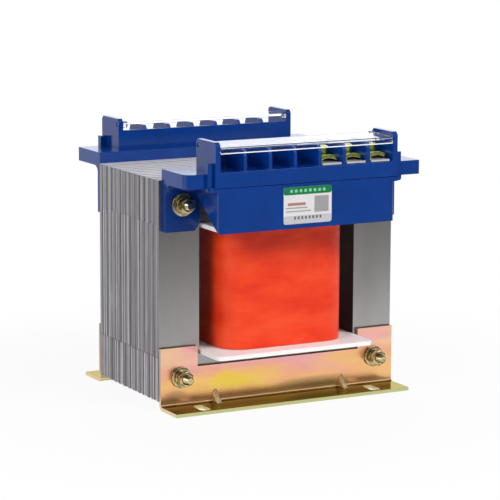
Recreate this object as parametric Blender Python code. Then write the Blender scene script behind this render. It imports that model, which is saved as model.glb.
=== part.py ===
"""Step-down transformer: an EI core with one coil, two feet and two blocks of covered terminals.

Metres, +Z up. The origin lies on the mounting plane, under the centre of the core.
+X points to the right and -Y to the front. The front and the rear block are the same mouldings,
so each of their forms is modelled once, out from the core's face, and is set on both faces.
"""

import math

import bmesh
import bpy
from mathutils import Matrix, Vector

MM = 0.001

# Fits
SEAT_GAP = 0.3 * MM            # left between neighbouring pieces
HOLE_CLEARANCE = 0.3 * MM      # all round a bolt, screw, pin or lead in its hole
JOIN = 0.8 * MM                # how far forms that become one moulding run into each other
CUT_MARGIN = 5 * MM            # how far a cutter runs past what it cuts

# Core sheets
CENTRE_LEG = 50 * MM
OUTER_LEG = 25 * MM
WINDOW_WIDTH = 25 * MM
WINDOW_HEIGHT = 75 * MM
YOKE = 25 * MM
STACK_DEPTH = 78 * MM
CORE_LIFT = 4.5 * MM           # underside above the mounting plane
PACKET_COUNT = 25              # groups of sheets whose edges step in and out
PACKET_STEP = 0.2 * MM
JOINT_HEIGHT = 0.4 * MM        # line where an E sheet meets its I sheet
JOINT_DEPTH = 0.5 * MM
JOINT_MARGIN = 0.78 * MM       # plain edge of a packet on each side of that line

# Coil former
FORMER_SIDE_CLEARANCE = 0.8 * MM
FORMER_END_CLEARANCE = 0.3 * MM
FORMER_WALL = 1.2 * MM
FORMER_CORNER = 1.6 * MM
FLANGE_THICKNESS = 2.4 * MM
FLANGE_OVERHANG = 24 * MM      # flange edge out from the core's face
FLANGE_CORNER = 3.5 * MM

# Windings, from the former outwards
PRIMARY_BUILD = 5.0 * MM
INSULATION_BUILD = 0.6 * MM
SECONDARY_BUILD = 4.2 * MM
WRAP_BUILD = 0.7 * MM

# Feet
SHEET = 2.0 * MM
BEND_RADIUS = 1.5 * MM         # on the inner side of the bend
FOOT_REACH = 22 * MM           # edge of the foot out from the core's face
TAB_INSET = 2.0 * MM           # inner edge of a tab beyond the core's window
TAB_RISE = 5.5 * MM            # top of a tab above the window's lower edge
WEB_DROP = 6.3 * MM            # top of the sheet between the tabs below that edge
SLOT_ACROSS = 6.5 * MM
SLOT_LENGTH = 13 * MM
SLOT_FLAT = 0.3 * MM           # half the flat at each round end
SLOT_INSET = 20 * MM           # axis in from the foot's end
SLOT_FROM_EDGE = 8.5 * MM
GUSSET_INSET = 34 * MM
GUSSET_RADIUS = 1.6 * MM
GUSSET_RISE = 5.0 * MM
GUSSET_STRETCH = 0.5 * MM      # how much thinner the sheet is where it is pressed
GUSSET_DENT_RADIUS = 0.8 * MM

# Bolts
BOLT_FROM_EDGE = 13.4 * MM     # axis in from the core's lower or upper edge
BOLT_DIAMETER = 5 * MM
LOWER_BOLT_END = 4.4 * MM      # thread beyond the nut
UPPER_BOLT_END = 2.4 * MM
BOLT_CHAMFER = 0.5 * MM
ACROSS_FLATS = 8 * MM
HEX_CHAMFER = 0.4 * MM
HEAD_HEIGHT = 3.5 * MM
NUT_HEIGHT = 4 * MM
LOWER_WASHER_DIAMETER = 12.0 * MM
UPPER_WASHER_DIAMETER = 13.4 * MM
WASHER_THICKNESS = 1.2 * MM
SPRING_WASHER_DIAMETER = 9.2 * MM
SPRING_WASHER_THICKNESS = 1.4 * MM
SPRING_WASHER_SPLIT = 14       # degrees

# Terminal frame
EAR_THICKNESS = 4.0 * MM
EAR_INSET = 2.0 * MM           # inner edge of an ear beyond the core's window
EAR_MARGIN = 0.4 * MM          # outer edge of an ear in from the wing's end
EAR_DROP = 3.8 * MM            # below the window's upper edge
EAR_CHAMFER_ACROSS = 2.8 * MM
EAR_CHAMFER_RISE = 3.8 * MM
ROUND_WING_INSET = 1.8 * MM    # end of the wing with a round corner in from the core's side
SQUARE_WING_INSET = 0.3 * MM   # end of the wing with a square corner in from the core's side
WING_DROP = 1.7 * MM           # underside of a wing below the core's top
WING_SETBACK = 4.5 * MM        # front of a wing behind the skirt's front
WING_THICKNESS = 8 * MM
WING_CORNER = 5.5 * MM
WING_FILLET = 5.5 * MM
WING_WALL = 2.4 * MM
WING_POCKET_DEPTH = 4.8 * MM
SKIRT_SIDE_CLEARANCE = 3.5 * MM   # between the coil's flange and the skirt
SKIRT_FRONT_CLEARANCE = 8.0 * MM
SKIRT_DROP = 1.7 * MM          # below the window's upper edge
SKIRT_WALL = 2.5 * MM
SKIRT_CORNER = 1.6 * MM
SKIRT_SLANT = 0.71             # rise of the side wall's lower edge for each metre towards the core
SLANT_START = 0.6 * MM         # where that slope starts behind the skirt's front
ROOF_OVERHANG = 2.7 * MM       # end of the roof beyond the strip
ROOF_THICKNESS = 2.3 * MM
ROOF_EDGE = 1.6 * MM
ROOF_LEDGE = 1.5 * MM          # back of the roof behind the strip's pocket
LEAD_WINDOW_FRONT_LEDGE = 5.5 * MM
LEAD_WINDOW_BACK_LEDGE = 3.4 * MM
POST_THICKNESS = 3.3 * MM
POST_SETBACK = 2.1 * MM        # front of a post behind the skirt's front
POST_INSET = 1.4 * MM          # back of a post behind the wing's front
POST_RISE = 5.8 * MM           # above the wing
POST_DROP = 0.6 * MM           # below the roof

# Terminal strip
STRIP_OVERHANG = 7.5 * MM      # end of the strip beyond the core's window
STRIP_PROUD = 0.1 * MM         # front of the strip before the skirt
STRIP_BACK = 11.2 * MM         # back of the strip out from the core's face
BASE_HEIGHT = 8.5 * MM         # up to the top of the floor that the terminals lie on
FLOOR_THICKNESS = 2.6 * MM
PANEL_WALL = 2.4 * MM
END_PLATE = 3.0 * MM
END_PLATE_RISE = 3.6 * MM      # above the hinge
END_PLATE_CHAMFER = 1.6 * MM
BACK_WALL = 2.0 * MM
BACK_WALL_DROP = 3.2 * MM      # below the hinge
COMPARTMENTS = 7
PARTITION = 2.0 * MM
PARTITION_SETBACK = 0.6 * MM   # front end behind the strip's front
PARTITION_CHAMFER_BACK = 2.2 * MM   # slope at the front of its top, under the cover's lip
PARTITION_CHAMFER_DROP = 3.9 * MM
PARTITION_SINK = 0.4 * MM      # its back end below the back wall
HINGE_RELIEF_REACH = 2.1 * MM  # before the hinge, where its top starts to fall to the back wall

# Cover
HINGE_FROM_BACK = 2.1 * MM     # hinge axis before the strip's back
HINGE_RISE = 13.0 * MM         # above the strip's floor
COVER_THICKNESS = 1.4 * MM
COVER_CLEARANCE = 0.5 * MM     # above the partitions
COVER_SETBACK = 0.2 * MM       # front edge behind the strip's front
COVER_FALL = 0.75 * MM         # front edge below the edge along the hinge
LIP_DEPTH = 3.6 * MM
LIP_THICKNESS = 1.3 * MM
KNUCKLE_RADIUS = 2.0 * MM
KNUCKLE_WIDTH = 2.6 * MM
PIN_DIAMETER = 1.8 * MM
PIN_RECESS = 0.7 * MM          # end of a pin in from the end plate's outer face

# Terminals
TERMINALS = 3                  # in the last compartments of a strip
SCREW_FROM_BACK = 10.8 * MM    # axis before the strip's back
SCREW_DIAMETER = 4 * MM
SCREW_CHAMFER = 0.6 * MM
SCREW_HEAD = 7.6 * MM
SCREW_HEAD_HEIGHT = 2.4 * MM
SCREW_HEAD_SIDE = 1.4 * MM     # straight part of the head's side
SCREW_CROWN_INSET = 1.0 * MM
SCREW_WASHER = 7.0 * MM
SCREW_WASHER_THICKNESS = 1.3 * MM
SCREW_NECK_HEIGHT = 0.35 * MM
SCREW_NECK_DEPTH = 0.5 * MM
SCREW_TIP_HEIGHT = 2.1 * MM    # above the strip's underside
RECESS_SPAN = 4.0 * MM
RECESS_WIDTH = 0.9 * MM
RECESS_DEPTH = 1.1 * MM
PLATE_SIDE_CLEARANCE = 0.8 * MM
PLATE_THICKNESS = 1.0 * MM
PLATE_FORWARD = 11.8 * MM      # edges of the plate from the screw
PLATE_REARWARD = 6.0 * MM
TAIL_WIDTH = 4 * MM
TAIL_SETBACK = 0.05 * MM
TAIL_TIP_HEIGHT = 2.5 * MM     # above the strip's underside
CLAMP_INSET = 0.5 * MM         # ends of a clamp in from the plate's sides
CLAMP_FORWARD = 7.7 * MM
CLAMP_REARWARD = 5.2 * MM
CLAMP_THICKNESS = 2.0 * MM
OPEN_CLAMP_ARCH = 1.3 * MM
OPEN_CLAMP_LIFT = 0.6 * MM     # a loosened clamp hangs this far above its plate
TIGHT_CLAMP_ARCH = 0.6 * MM

# Leads
LEAD_DIAMETER = 2.0 * MM
LEAD_MARGIN = 3.0 * MM         # last lead in from the former's side
LEAD_TOP_GAP = 0.6 * MM        # below the strip's floor
LEAD_STRAIGHT = 4 * MM

# Fineness of curves
ROUND = 16                     # sides of a bolt, washer or hole; hexagons need a multiple of 12
HEX_ROUND = 12
CORNER_STEPS = 4
LEAD_STEPS = 10
LEAD_ROUND = 2
SMOOTH = 35                    # faces that meet at fewer degrees are shaded as round

# Places that follow from the sizes above
FACE = STACK_DEPTH / 2
CORE_REACH = CENTRE_LEG / 2 + WINDOW_WIDTH + OUTER_LEG
CORE_TOP = CORE_LIFT + WINDOW_HEIGHT + 2 * YOKE
WINDOW_BOTTOM = CORE_LIFT + YOKE
WINDOW_TOP = WINDOW_BOTTOM + WINDOW_HEIGHT
WINDOW_REACH = CENTRE_LEG / 2 + WINDOW_WIDTH
BOLT_X = CORE_REACH - OUTER_LEG / 2
BOLT_LOW = CORE_LIFT + BOLT_FROM_EDGE
BOLT_HIGH = CORE_TOP - BOLT_FROM_EDGE
BOLT_HOLE = BOLT_DIAMETER / 2 + HOLE_CLEARANCE
TAB_INNER = WINDOW_REACH + TAB_INSET
TAB_TOP = WINDOW_BOTTOM + TAB_RISE
WEB_TOP = WINDOW_BOTTOM - WEB_DROP
SLOT_FROM_CENTRE = CORE_REACH - SLOT_INSET
SLOT_REACH = FOOT_REACH - SLOT_FROM_EDGE
GUSSET_FROM_CENTRE = CORE_REACH - GUSSET_INSET
FORMER_X = CENTRE_LEG / 2 + FORMER_SIDE_CLEARANCE + FORMER_WALL
FORMER_Y = FACE + FORMER_END_CLEARANCE + FORMER_WALL
FORMER_BOTTOM = WINDOW_BOTTOM + SEAT_GAP
FORMER_TOP = WINDOW_TOP - SEAT_GAP
COIL_BOTTOM = FORMER_BOTTOM + FLANGE_THICKNESS + SEAT_GAP
COIL_TOP = FORMER_TOP - FLANGE_THICKNESS - SEAT_GAP
PRIMARY_START = SEAT_GAP
INSULATION_START = PRIMARY_START + PRIMARY_BUILD + SEAT_GAP
SECONDARY_START = INSULATION_START + INSULATION_BUILD + SEAT_GAP
WRAP_START = SECONDARY_START + SECONDARY_BUILD + SEAT_GAP
WING_REACH = {-1: CORE_REACH - ROUND_WING_INSET, 1: CORE_REACH - SQUARE_WING_INSET}
WING_BOTTOM = CORE_TOP - WING_DROP
WING_TOP = WING_BOTTOM + WING_THICKNESS
EAR_INNER = WINDOW_REACH + EAR_INSET
EAR_BOTTOM = WINDOW_TOP - EAR_DROP
SKIRT_REACH = WINDOW_REACH - SEAT_GAP + SKIRT_SIDE_CLEARANCE + SKIRT_WALL
SKIRT_DEPTH = FLANGE_OVERHANG + SKIRT_FRONT_CLEARANCE + SKIRT_WALL
SKIRT_BOTTOM = WINDOW_TOP - SKIRT_DROP
WING_DEPTH = SKIRT_DEPTH - WING_SETBACK
STRIP_REACH = WINDOW_REACH + STRIP_OVERHANG
STRIP_FRONT = SKIRT_DEPTH + STRIP_PROUD
STRIP_BOTTOM = WING_BOTTOM + SEAT_GAP
STRIP_FLOOR = STRIP_BOTTOM + BASE_HEIGHT
POCKET_REACH = STRIP_REACH + SEAT_GAP
POCKET_BACK = STRIP_BACK - SEAT_GAP
ROOF_REACH = STRIP_REACH + ROOF_OVERHANG
ROOF_BOTTOM = WING_BOTTOM - ROOF_THICKNESS
ROOF_BACK = POCKET_BACK - ROOF_LEDGE
LEAD_WINDOW_FRONT = SKIRT_DEPTH - LEAD_WINDOW_FRONT_LEDGE
LEAD_WINDOW_BACK = STRIP_BACK + LEAD_WINDOW_BACK_LEDGE
POST_REACH = POCKET_REACH + POST_THICKNESS
POST_FRONT = SKIRT_DEPTH - POST_SETBACK
POST_BACK = WING_DEPTH - POST_INSET
POST_TOP = WING_TOP + POST_RISE
POST_BOTTOM = ROOF_BOTTOM - POST_DROP
HINGE_REACH = STRIP_BACK + HINGE_FROM_BACK
HINGE_HEIGHT = STRIP_FLOOR + HINGE_RISE
END_PLATE_TOP = HINGE_HEIGHT + END_PLATE_RISE
BACK_WALL_TOP = HINGE_HEIGHT - BACK_WALL_DROP
PITCH = 2 * (STRIP_REACH - END_PLATE) / COMPARTMENTS
PARTITION_TOP = HINGE_HEIGHT - COVER_THICKNESS / 2 - COVER_CLEARANCE
SCREW_REACH = STRIP_BACK + SCREW_FROM_BACK
SCREW_HOLE = SCREW_DIAMETER / 2 + HOLE_CLEARANCE
SCREW_END = STRIP_BOTTOM + SCREW_TIP_HEIGHT
PLATE_BOTTOM = STRIP_FLOOR + SEAT_GAP
PLATE_TOP = PLATE_BOTTOM + PLATE_THICKNESS
PLATE_WIDTH = PITCH - PARTITION - 2 * PLATE_SIDE_CLEARANCE
TAIL_END = STRIP_BOTTOM + TAIL_TIP_HEIGHT
LEAD_REACH = SCREW_REACH - PLATE_REARWARD + PLATE_THICKNESS + SEAT_GAP + LEAD_DIAMETER / 2
LEAD_TOP = STRIP_FLOOR - FLOOR_THICKNESS - LEAD_TOP_GAP
LEAD_SPREAD = (FORMER_X - LEAD_MARGIN) / TERMINALS


def clear_scene():
    for old in list(bpy.data.objects):
        bpy.data.objects.remove(old, do_unlink=True)


def material(name, colour, roughness, metallic=0.0, clear=0.0):
    finish = bpy.data.materials.new(name)
    finish.use_nodes = True
    finish.diffuse_color = (*colour, 1.0)
    shader = finish.node_tree.nodes["Principled BSDF"]
    shader.inputs["Base Color"].default_value = (*colour, 1.0)
    shader.inputs["Roughness"].default_value = roughness
    shader.inputs["Metallic"].default_value = metallic
    shader.inputs["Transmission Weight"].default_value = clear
    return finish


# Forms

def along(axis, across, up, far):
    """The point with two coordinates in an outline's plane and one along the axis square to it."""
    if axis == "X":
        return Vector((far, across, up))
    if axis == "Y":
        return Vector((across, far, up))
    return Vector((across, up, far))


def finished(form):
    """A bmesh turned into a mesh whose faces point out."""
    bmesh.ops.recalc_face_normals(form, faces=form.faces)
    mesh = bpy.data.meshes.new("form")
    form.to_mesh(mesh)
    form.free()
    return mesh


def prism(outline, axis, start, end):
    """An outline pushed along an axis."""
    form = bmesh.new()
    corners = [form.verts.new(along(axis, across, up, start)) for across, up in outline]
    base = form.faces.new(corners)
    pushed = bmesh.ops.extrude_face_region(form, geom=[base])
    moved = [piece for piece in pushed["geom"] if isinstance(piece, bmesh.types.BMVert)]
    bmesh.ops.translate(form, verts=moved, vec=along(axis, 0, 0, end - start))
    return finished(form)


def block(x, y, z):
    """A box between two values on each axis."""
    outline = [(x[0], y[0]), (x[1], y[0]), (x[1], y[1]), (x[0], y[1])]
    return prism(outline, "Z", z[0], z[1])


def skin(rings, endless=False):
    """Rings with as many points each, joined in order. The ends are capped, or meet each other."""
    form = bmesh.new()
    loops = [[form.verts.new(point) for point in ring] for ring in rings]
    pairs = list(zip(loops, loops[1:]))
    if endless:
        pairs.append((loops[-1], loops[0]))
    else:
        form.faces.new(loops[0])
        form.faces.new(loops[-1])
    for one, other in pairs:
        for corner in range(len(one)):
            after = (corner + 1) % len(one)
            form.faces.new((one[corner], one[after], other[after], other[corner]))
    return finished(form)


def merged(meshes):
    """Separate forms as one mesh, to be used as one cutter."""
    form = bmesh.new()
    for mesh in meshes:
        form.from_mesh(mesh)
    return finished(form)


def worked(base, tools, operation):
    """The base mesh with each tool joined to it or cut from it."""
    collection = bpy.context.scene.collection
    body = bpy.data.objects.new("body", base)
    collection.objects.link(body)
    helpers = []
    for tool in tools:
        helper = bpy.data.objects.new("tool", tool)
        helper.hide_render = True
        helper.display_type = "WIRE"
        collection.objects.link(helper)
        step = body.modifiers.new("step", "BOOLEAN")
        step.operation = operation
        step.solver = "EXACT"
        step.object = helper
        helpers.append(helper)
    depsgraph = bpy.context.evaluated_depsgraph_get()
    depsgraph.update()
    result = bpy.data.meshes.new_from_object(body.evaluated_get(depsgraph))
    for used in [body, *helpers]:
        bpy.data.objects.remove(used, do_unlink=True)
    return result


def cut(base, *tools):
    return worked(base, tools, "DIFFERENCE")


def joined(base, *tools):
    return worked(base, tools, "UNION")


def arc(centre, radius, start, end, steps=CORNER_STEPS):
    """Points on an arc, from one angle to another in degrees."""
    points = []
    for step in range(steps + 1):
        angle = math.radians(start + (end - start) * step / steps)
        points.append((centre[0] + radius * math.cos(angle), centre[1] + radius * math.sin(angle)))
    return points


def rounded(reach_x, reach_y, radius, centre=(0, 0)):
    """A rectangle with round corners, from its half widths."""
    points = []
    for quarter, (side_x, side_y) in enumerate(((1, 1), (-1, 1), (-1, -1), (1, -1))):
        middle = (centre[0] + side_x * (reach_x - radius), centre[1] + side_y * (reach_y - radius))
        points += arc(middle, radius, quarter * 90, quarter * 90 + 90)
    return points


def hex_radius(angle, across_flats):
    """Distance from the middle of a hexagon to its edge, at an angle in radians."""
    sixth = math.pi / 3
    return across_flats / 2 / math.cos((angle + sixth / 2) % sixth - sixth / 2)


def ring(distance, radius, sides, hexagon=0.0):
    """A circle round Z, or a hexagon whose corners are turned down to the radius."""
    points = []
    for side in range(sides):
        angle = 2 * math.pi * side / sides
        reach = min(radius, hex_radius(angle, hexagon)) if hexagon else radius
        points.append(Vector((reach * math.cos(angle), reach * math.sin(angle), distance)))
    return points


def drill(x, y, z, radius, axis, sides=ROUND):
    """A round cutter. The value on its own axis is a pair, and the other two are its centre."""
    if axis == "Y":
        return prism(arc((x, z), radius, 0, 360 - 360 / sides, sides - 1), "Y", *y)
    if axis == "X":
        return prism(arc((y, z), radius, 0, 360 - 360 / sides, sides - 1), "X", *x)
    return prism(arc((x, y), radius, 0, 360 - 360 / sides, sides - 1), "Z", *z)


def piece(name, mesh, finish, parent=None, location=(0, 0, 0), rotation=(0, 0, 0)):
    """A named sub-part, with its round faces shaded smooth."""
    mesh.materials.clear()
    mesh.materials.append(finish)
    mesh.shade_smooth()
    mesh.set_sharp_from_angle(angle=math.radians(SMOOTH))
    made = bpy.data.objects.new(name, mesh)
    bpy.context.scene.collection.objects.link(made)
    made.parent = parent
    made.location = location
    made.rotation_euler = rotation
    return made


def empty(name, location, rotation=(0, 0, 0), parent=None):
    made = bpy.data.objects.new(name, None)
    bpy.context.scene.collection.objects.link(made)
    made.location = location
    made.rotation_euler = rotation
    made.parent = parent
    return made


# Core

def core_form():
    """Packets of sheets, then the two windows, the bolt holes and the E to I joints."""
    packet = STACK_DEPTH / PACKET_COUNT
    rings = []
    joints = []
    for number in range(PACKET_COUNT):
        inset = PACKET_STEP * (number % 2)
        near = number * packet - FACE
        x = CORE_REACH - inset
        for y in (near, near + packet):
            rings.append([Vector((side, y, z)) for side, z in (
                (-x, CORE_LIFT + inset), (x, CORE_LIFT + inset),
                (x, CORE_TOP - inset), (-x, CORE_TOP - inset))])
        joint = WINDOW_TOP if number % 2 else WINDOW_BOTTOM
        for side in (-1, 1):
            reach = sorted((side * (x - JOINT_DEPTH), side * (x + CUT_MARGIN)))
            joints.append(block(reach, (near + JOINT_MARGIN, near + packet - JOINT_MARGIN),
                                (joint - JOINT_HEIGHT / 2, joint + JOINT_HEIGHT / 2)))
    past = (-FACE - CUT_MARGIN, FACE + CUT_MARGIN)
    windows = [block(sorted((side * CENTRE_LEG / 2, side * WINDOW_REACH)), past,
                     (WINDOW_BOTTOM, WINDOW_TOP)) for side in (-1, 1)]
    holes = [drill(side * BOLT_X, past, z, BOLT_HOLE, "Y")
             for side in (-1, 1) for z in (BOLT_LOW, BOLT_HIGH)]
    return cut(skin(rings), merged(windows + holes), merged(joints))


# Coil

def coil_ring(offset, z):
    """The outline of the coil at a distance out from the former's tube."""
    outline = rounded(FORMER_X + offset, FORMER_Y + offset, FORMER_CORNER + offset)
    return [Vector((x, y, z)) for x, y in outline]


def winding_form(start, build):
    """One layer of the coil: a tube between two offsets from the former."""
    return skin([coil_ring(start, COIL_BOTTOM), coil_ring(start + build, COIL_BOTTOM),
                 coil_ring(start + build, COIL_TOP), coil_ring(start, COIL_TOP)], endless=True)


def flange_ring(z):
    outline = rounded(WINDOW_REACH - SEAT_GAP, FACE + FLANGE_OVERHANG, FLANGE_CORNER)
    return [Vector((x, y, z)) for x, y in outline]


def lead_exit(side, number):
    """Where a lead leaves the top of its winding, in the frame of the core's face."""
    middle = PRIMARY_START + PRIMARY_BUILD / 2
    if side == "rear":
        middle = SECONDARY_START + SECONDARY_BUILD / 2
    return ((number + 1) * LEAD_SPREAD, FACE - FORMER_Y - middle)


def former_form():
    """A tube with two flanges, and a hole for each lead in the upper one."""
    inner_bottom = FORMER_BOTTOM + FLANGE_THICKNESS
    inner_top = FORMER_TOP - FLANGE_THICKNESS
    rings = [flange_ring(FORMER_BOTTOM), flange_ring(inner_bottom), coil_ring(0, inner_bottom),
             coil_ring(0, inner_top), flange_ring(inner_top), flange_ring(FORMER_TOP),
             coil_ring(-FORMER_WALL, FORMER_TOP), coil_ring(-FORMER_WALL, FORMER_BOTTOM)]
    through = (inner_top - CUT_MARGIN, FORMER_TOP + CUT_MARGIN)
    radius = LEAD_DIAMETER / 2 + HOLE_CLEARANCE
    holes = []
    for side, turn in (("front", 1), ("rear", -1)):
        for number in range(TERMINALS):
            x, y = lead_exit(side, number)
            holes.append(drill(turn * x, turn * (y - FACE), through, radius, "Z", HEX_ROUND))
    return cut(skin(rings, endless=True), merged(holes))


# Feet, in the frame of the core's face: y is 0 on the core and falls outwards

def gusset(radius, inward, x):
    """A round-topped rib across the bend, with its crest moved in towards the bend."""
    bend = (-SEAT_GAP - SHEET, SHEET)
    top = (bend[0] + inward, bend[1] + GUSSET_RISE - inward)
    toe = (bend[0] - GUSSET_RISE + inward, bend[1] - inward)
    slope = Vector((0, toe[0] - top[0], toe[1] - top[1]))
    run = slope.normalized()
    start = Vector((x, *top)) - run * radius
    turn = run.to_track_quat("Z", "Y").to_matrix().to_4x4()
    crest = skin([ring(0, radius, HEX_ROUND), ring(slope.length + 2 * radius, radius, HEX_ROUND)])
    crest.transform(Matrix.Translation(start) @ turn)
    corner = (SHEET, -SHEET) if inward else (bend[0] + JOIN, bend[1] - JOIN)
    web = prism([(corner[0], top[1]), top, toe, (toe[0], corner[1]), corner], "X", x - radius, x + radius)
    return joined(crest, web)


def foot_form():
    """A bent sheet with two tabs, slots, bolt holes and pressed gussets."""
    inner, outer = -SEAT_GAP, -SEAT_GAP - SHEET
    bend = (outer - BEND_RADIUS, SHEET + BEND_RADIUS)
    outline = [(-FOOT_REACH, 0)]
    outline += arc(bend, BEND_RADIUS + SHEET, -90, 0)
    outline += [(inner, TAB_TOP), (outer, TAB_TOP)]
    outline += arc(bend, BEND_RADIUS, 0, -90)
    outline += [(-FOOT_REACH, SHEET)]
    sheet = prism(outline, "X", -CORE_REACH, CORE_REACH)
    through = (outer - CUT_MARGIN, inner + CUT_MARGIN)
    cuts = [block((-TAB_INNER, TAB_INNER), through, (WEB_TOP, TAB_TOP + CUT_MARGIN))]
    ribs = []
    dents = []
    middle = (inner + outer) / 2
    for side in (-1, 1):
        cuts.append(drill(side * BOLT_X, through, BOLT_LOW, BOLT_HOLE, "Y"))
        slot = rounded(SLOT_ACROSS / 2, SLOT_LENGTH / 2, SLOT_ACROSS / 2 - SLOT_FLAT,
                       (side * SLOT_FROM_CENTRE, -SLOT_REACH))
        cuts.append(prism(slot, "Z", -CUT_MARGIN, SHEET + CUT_MARGIN))
        behind = block((-CORE_REACH, CORE_REACH), (middle, CUT_MARGIN), (-CUT_MARGIN, TAB_TOP))
        under = block((-CORE_REACH, CORE_REACH), (-FOOT_REACH, middle), (-CUT_MARGIN, SHEET / 2))
        ribs.append(cut(gusset(GUSSET_RADIUS, 0, side * GUSSET_FROM_CENTRE), behind, under))
        dents.append(gusset(GUSSET_DENT_RADIUS, SHEET - GUSSET_STRETCH, side * GUSSET_FROM_CENTRE))
    return cut(joined(sheet, *ribs), merged(cuts), *dents)


# Fasteners, turned round Z with the outer end up

def washer_form(outer, inner, thickness, sides=ROUND):
    return skin([ring(0, inner, sides), ring(0, outer, sides), ring(thickness, outer, sides),
                 ring(thickness, inner, sides)], endless=True)


def spring_washer_form():
    """A split ring."""
    inner, outer = BOLT_HOLE, SPRING_WASHER_DIAMETER / 2
    sections = []
    for step in range(ROUND + 1):
        angle = math.radians(SPRING_WASHER_SPLIT + (360 - 2 * SPRING_WASHER_SPLIT) * step / ROUND)
        out = Vector((math.cos(angle), math.sin(angle), 0))
        sections.append([out * inner, out * outer, out * outer + Vector((0, 0, SPRING_WASHER_THICKNESS)),
                         out * inner + Vector((0, 0, SPRING_WASHER_THICKNESS))])
    return skin(sections)


def nut_form():
    low = ACROSS_FLATS / 2
    high = ACROSS_FLATS
    return skin([ring(0, BOLT_HOLE, HEX_ROUND), ring(0, low, HEX_ROUND, ACROSS_FLATS),
                 ring(HEX_CHAMFER, high, HEX_ROUND, ACROSS_FLATS),
                 ring(NUT_HEIGHT - HEX_CHAMFER, high, HEX_ROUND, ACROSS_FLATS),
                 ring(NUT_HEIGHT, low, HEX_ROUND, ACROSS_FLATS),
                 ring(NUT_HEIGHT, BOLT_HOLE, HEX_ROUND)], endless=True)


def bolt_form(length):
    """A hexagon head below Z = 0 and a shank above it."""
    radius = BOLT_DIAMETER / 2
    return skin([ring(-HEAD_HEIGHT, ACROSS_FLATS / 2, HEX_ROUND, ACROSS_FLATS),
                 ring(HEX_CHAMFER - HEAD_HEIGHT, ACROSS_FLATS, HEX_ROUND, ACROSS_FLATS),
                 ring(0, ACROSS_FLATS, HEX_ROUND, ACROSS_FLATS), ring(0, radius, HEX_ROUND),
                 ring(length - BOLT_CHAMFER, radius, HEX_ROUND),
                 ring(length, radius - BOLT_CHAMFER, HEX_ROUND)])


# Terminal frame, in the frame of the core's face

def frame_form():
    """A slab with wings, a roofed skirt over the coil, two ears for the upper bolts, and two posts."""
    back = -SEAT_GAP
    plan = [(WING_REACH[1], back), (-WING_REACH[-1], back)]
    plan += arc((WING_CORNER - WING_REACH[-1], WING_CORNER - WING_DEPTH), WING_CORNER, 180, 270)
    plan += [(WING_REACH[1], -WING_DEPTH)]
    slab = prism(plan, "Z", WING_BOTTOM, WING_TOP)
    edge = (ROOF_REACH - ROOF_EDGE, ROOF_BOTTOM + ROOF_EDGE)
    roof_face = [(ROOF_REACH, WING_BOTTOM + JOIN), (-ROOF_REACH, WING_BOTTOM + JOIN)]
    roof_face += arc((-edge[0], edge[1]), ROOF_EDGE, 180, 270)
    roof_face += arc(edge, ROOF_EDGE, 270, 360)
    roof = prism(roof_face, "Y", -SKIRT_DEPTH, -ROOF_BACK)
    ear_front = -SEAT_GAP - EAR_THICKNESS
    half_depth = (SKIRT_DEPTH + ear_front - JOIN) / 2
    middle = (0, -SKIRT_DEPTH + half_depth)
    skirt = prism(rounded(SKIRT_REACH, half_depth, SKIRT_CORNER, middle), "Z",
                  SKIRT_BOTTOM, ROOF_BOTTOM + JOIN)
    added = [roof, skirt]
    removed = [block((-POCKET_REACH, POCKET_REACH), (-STRIP_FRONT - CUT_MARGIN, -POCKET_BACK),
                     (WING_BOTTOM, POST_TOP + CUT_MARGIN))]
    inner = SKIRT_REACH - SKIRT_WALL
    removed.append(block((-inner, inner), (-SKIRT_DEPTH + SKIRT_WALL, ear_front - JOIN / 2),
                         (SKIRT_BOTTOM - CUT_MARGIN, ROOF_BOTTOM)))
    removed.append(block((-WINDOW_REACH, WINDOW_REACH), (-LEAD_WINDOW_FRONT, -LEAD_WINDOW_BACK),
                         (ROOF_BOTTOM - CUT_MARGIN, WING_BOTTOM + CUT_MARGIN)))
    for side in (-1, 1):
        added.append(ear_form(side))
        added.append(post_form(side))
        removed.append(drill(side * BOLT_X, (-EAR_THICKNESS - CUT_MARGIN, CUT_MARGIN), BOLT_HIGH,
                             BOLT_HOLE, "Y"))
        removed.append(slant_cutter(side))
        removed.append(wing_pocket(side))
    return cut(joined(slab, *added), *removed)


def ear_form(side):
    """A plate on the core's face, with a fillet up to the underside of the wing."""
    top = WING_BOTTOM + JOIN
    outer = WING_REACH[side] - EAR_MARGIN
    outline = [(side * outer, EAR_BOTTOM), (side * outer, top), (side * EAR_INNER, top),
               (side * EAR_INNER, EAR_BOTTOM + EAR_CHAMFER_RISE),
               (side * (EAR_INNER + EAR_CHAMFER_ACROSS), EAR_BOTTOM)]
    front = -SEAT_GAP - EAR_THICKNESS
    plate = prism(outline, "Y", front, -SEAT_GAP)
    hollow = (front - WING_FILLET, WING_BOTTOM - WING_FILLET)
    fillet = arc(hollow, WING_FILLET, 0, 90)
    fillet += [(hollow[0], top), (front + JOIN, top), (front + JOIN, hollow[1])]
    reach = (side * (EAR_INNER + EAR_CHAMFER_ACROSS), side * (outer - SEAT_GAP))
    return joined(plate, prism(fillet, "X", *reach))


def post_form(side):
    """An upright outside each end of the strip, rounded at its foot."""
    foot = POST_REACH - POCKET_REACH
    outline = [(side * POST_REACH, POST_TOP), (side * (POCKET_REACH - JOIN), POST_TOP),
               (side * (POCKET_REACH - JOIN), POST_BOTTOM)]
    outline += [(side * x, z) for x, z in arc((POST_REACH - foot, POST_BOTTOM + foot), foot, -90, 0)]
    return prism(outline, "Y", -POST_FRONT, -POST_BACK)


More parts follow.
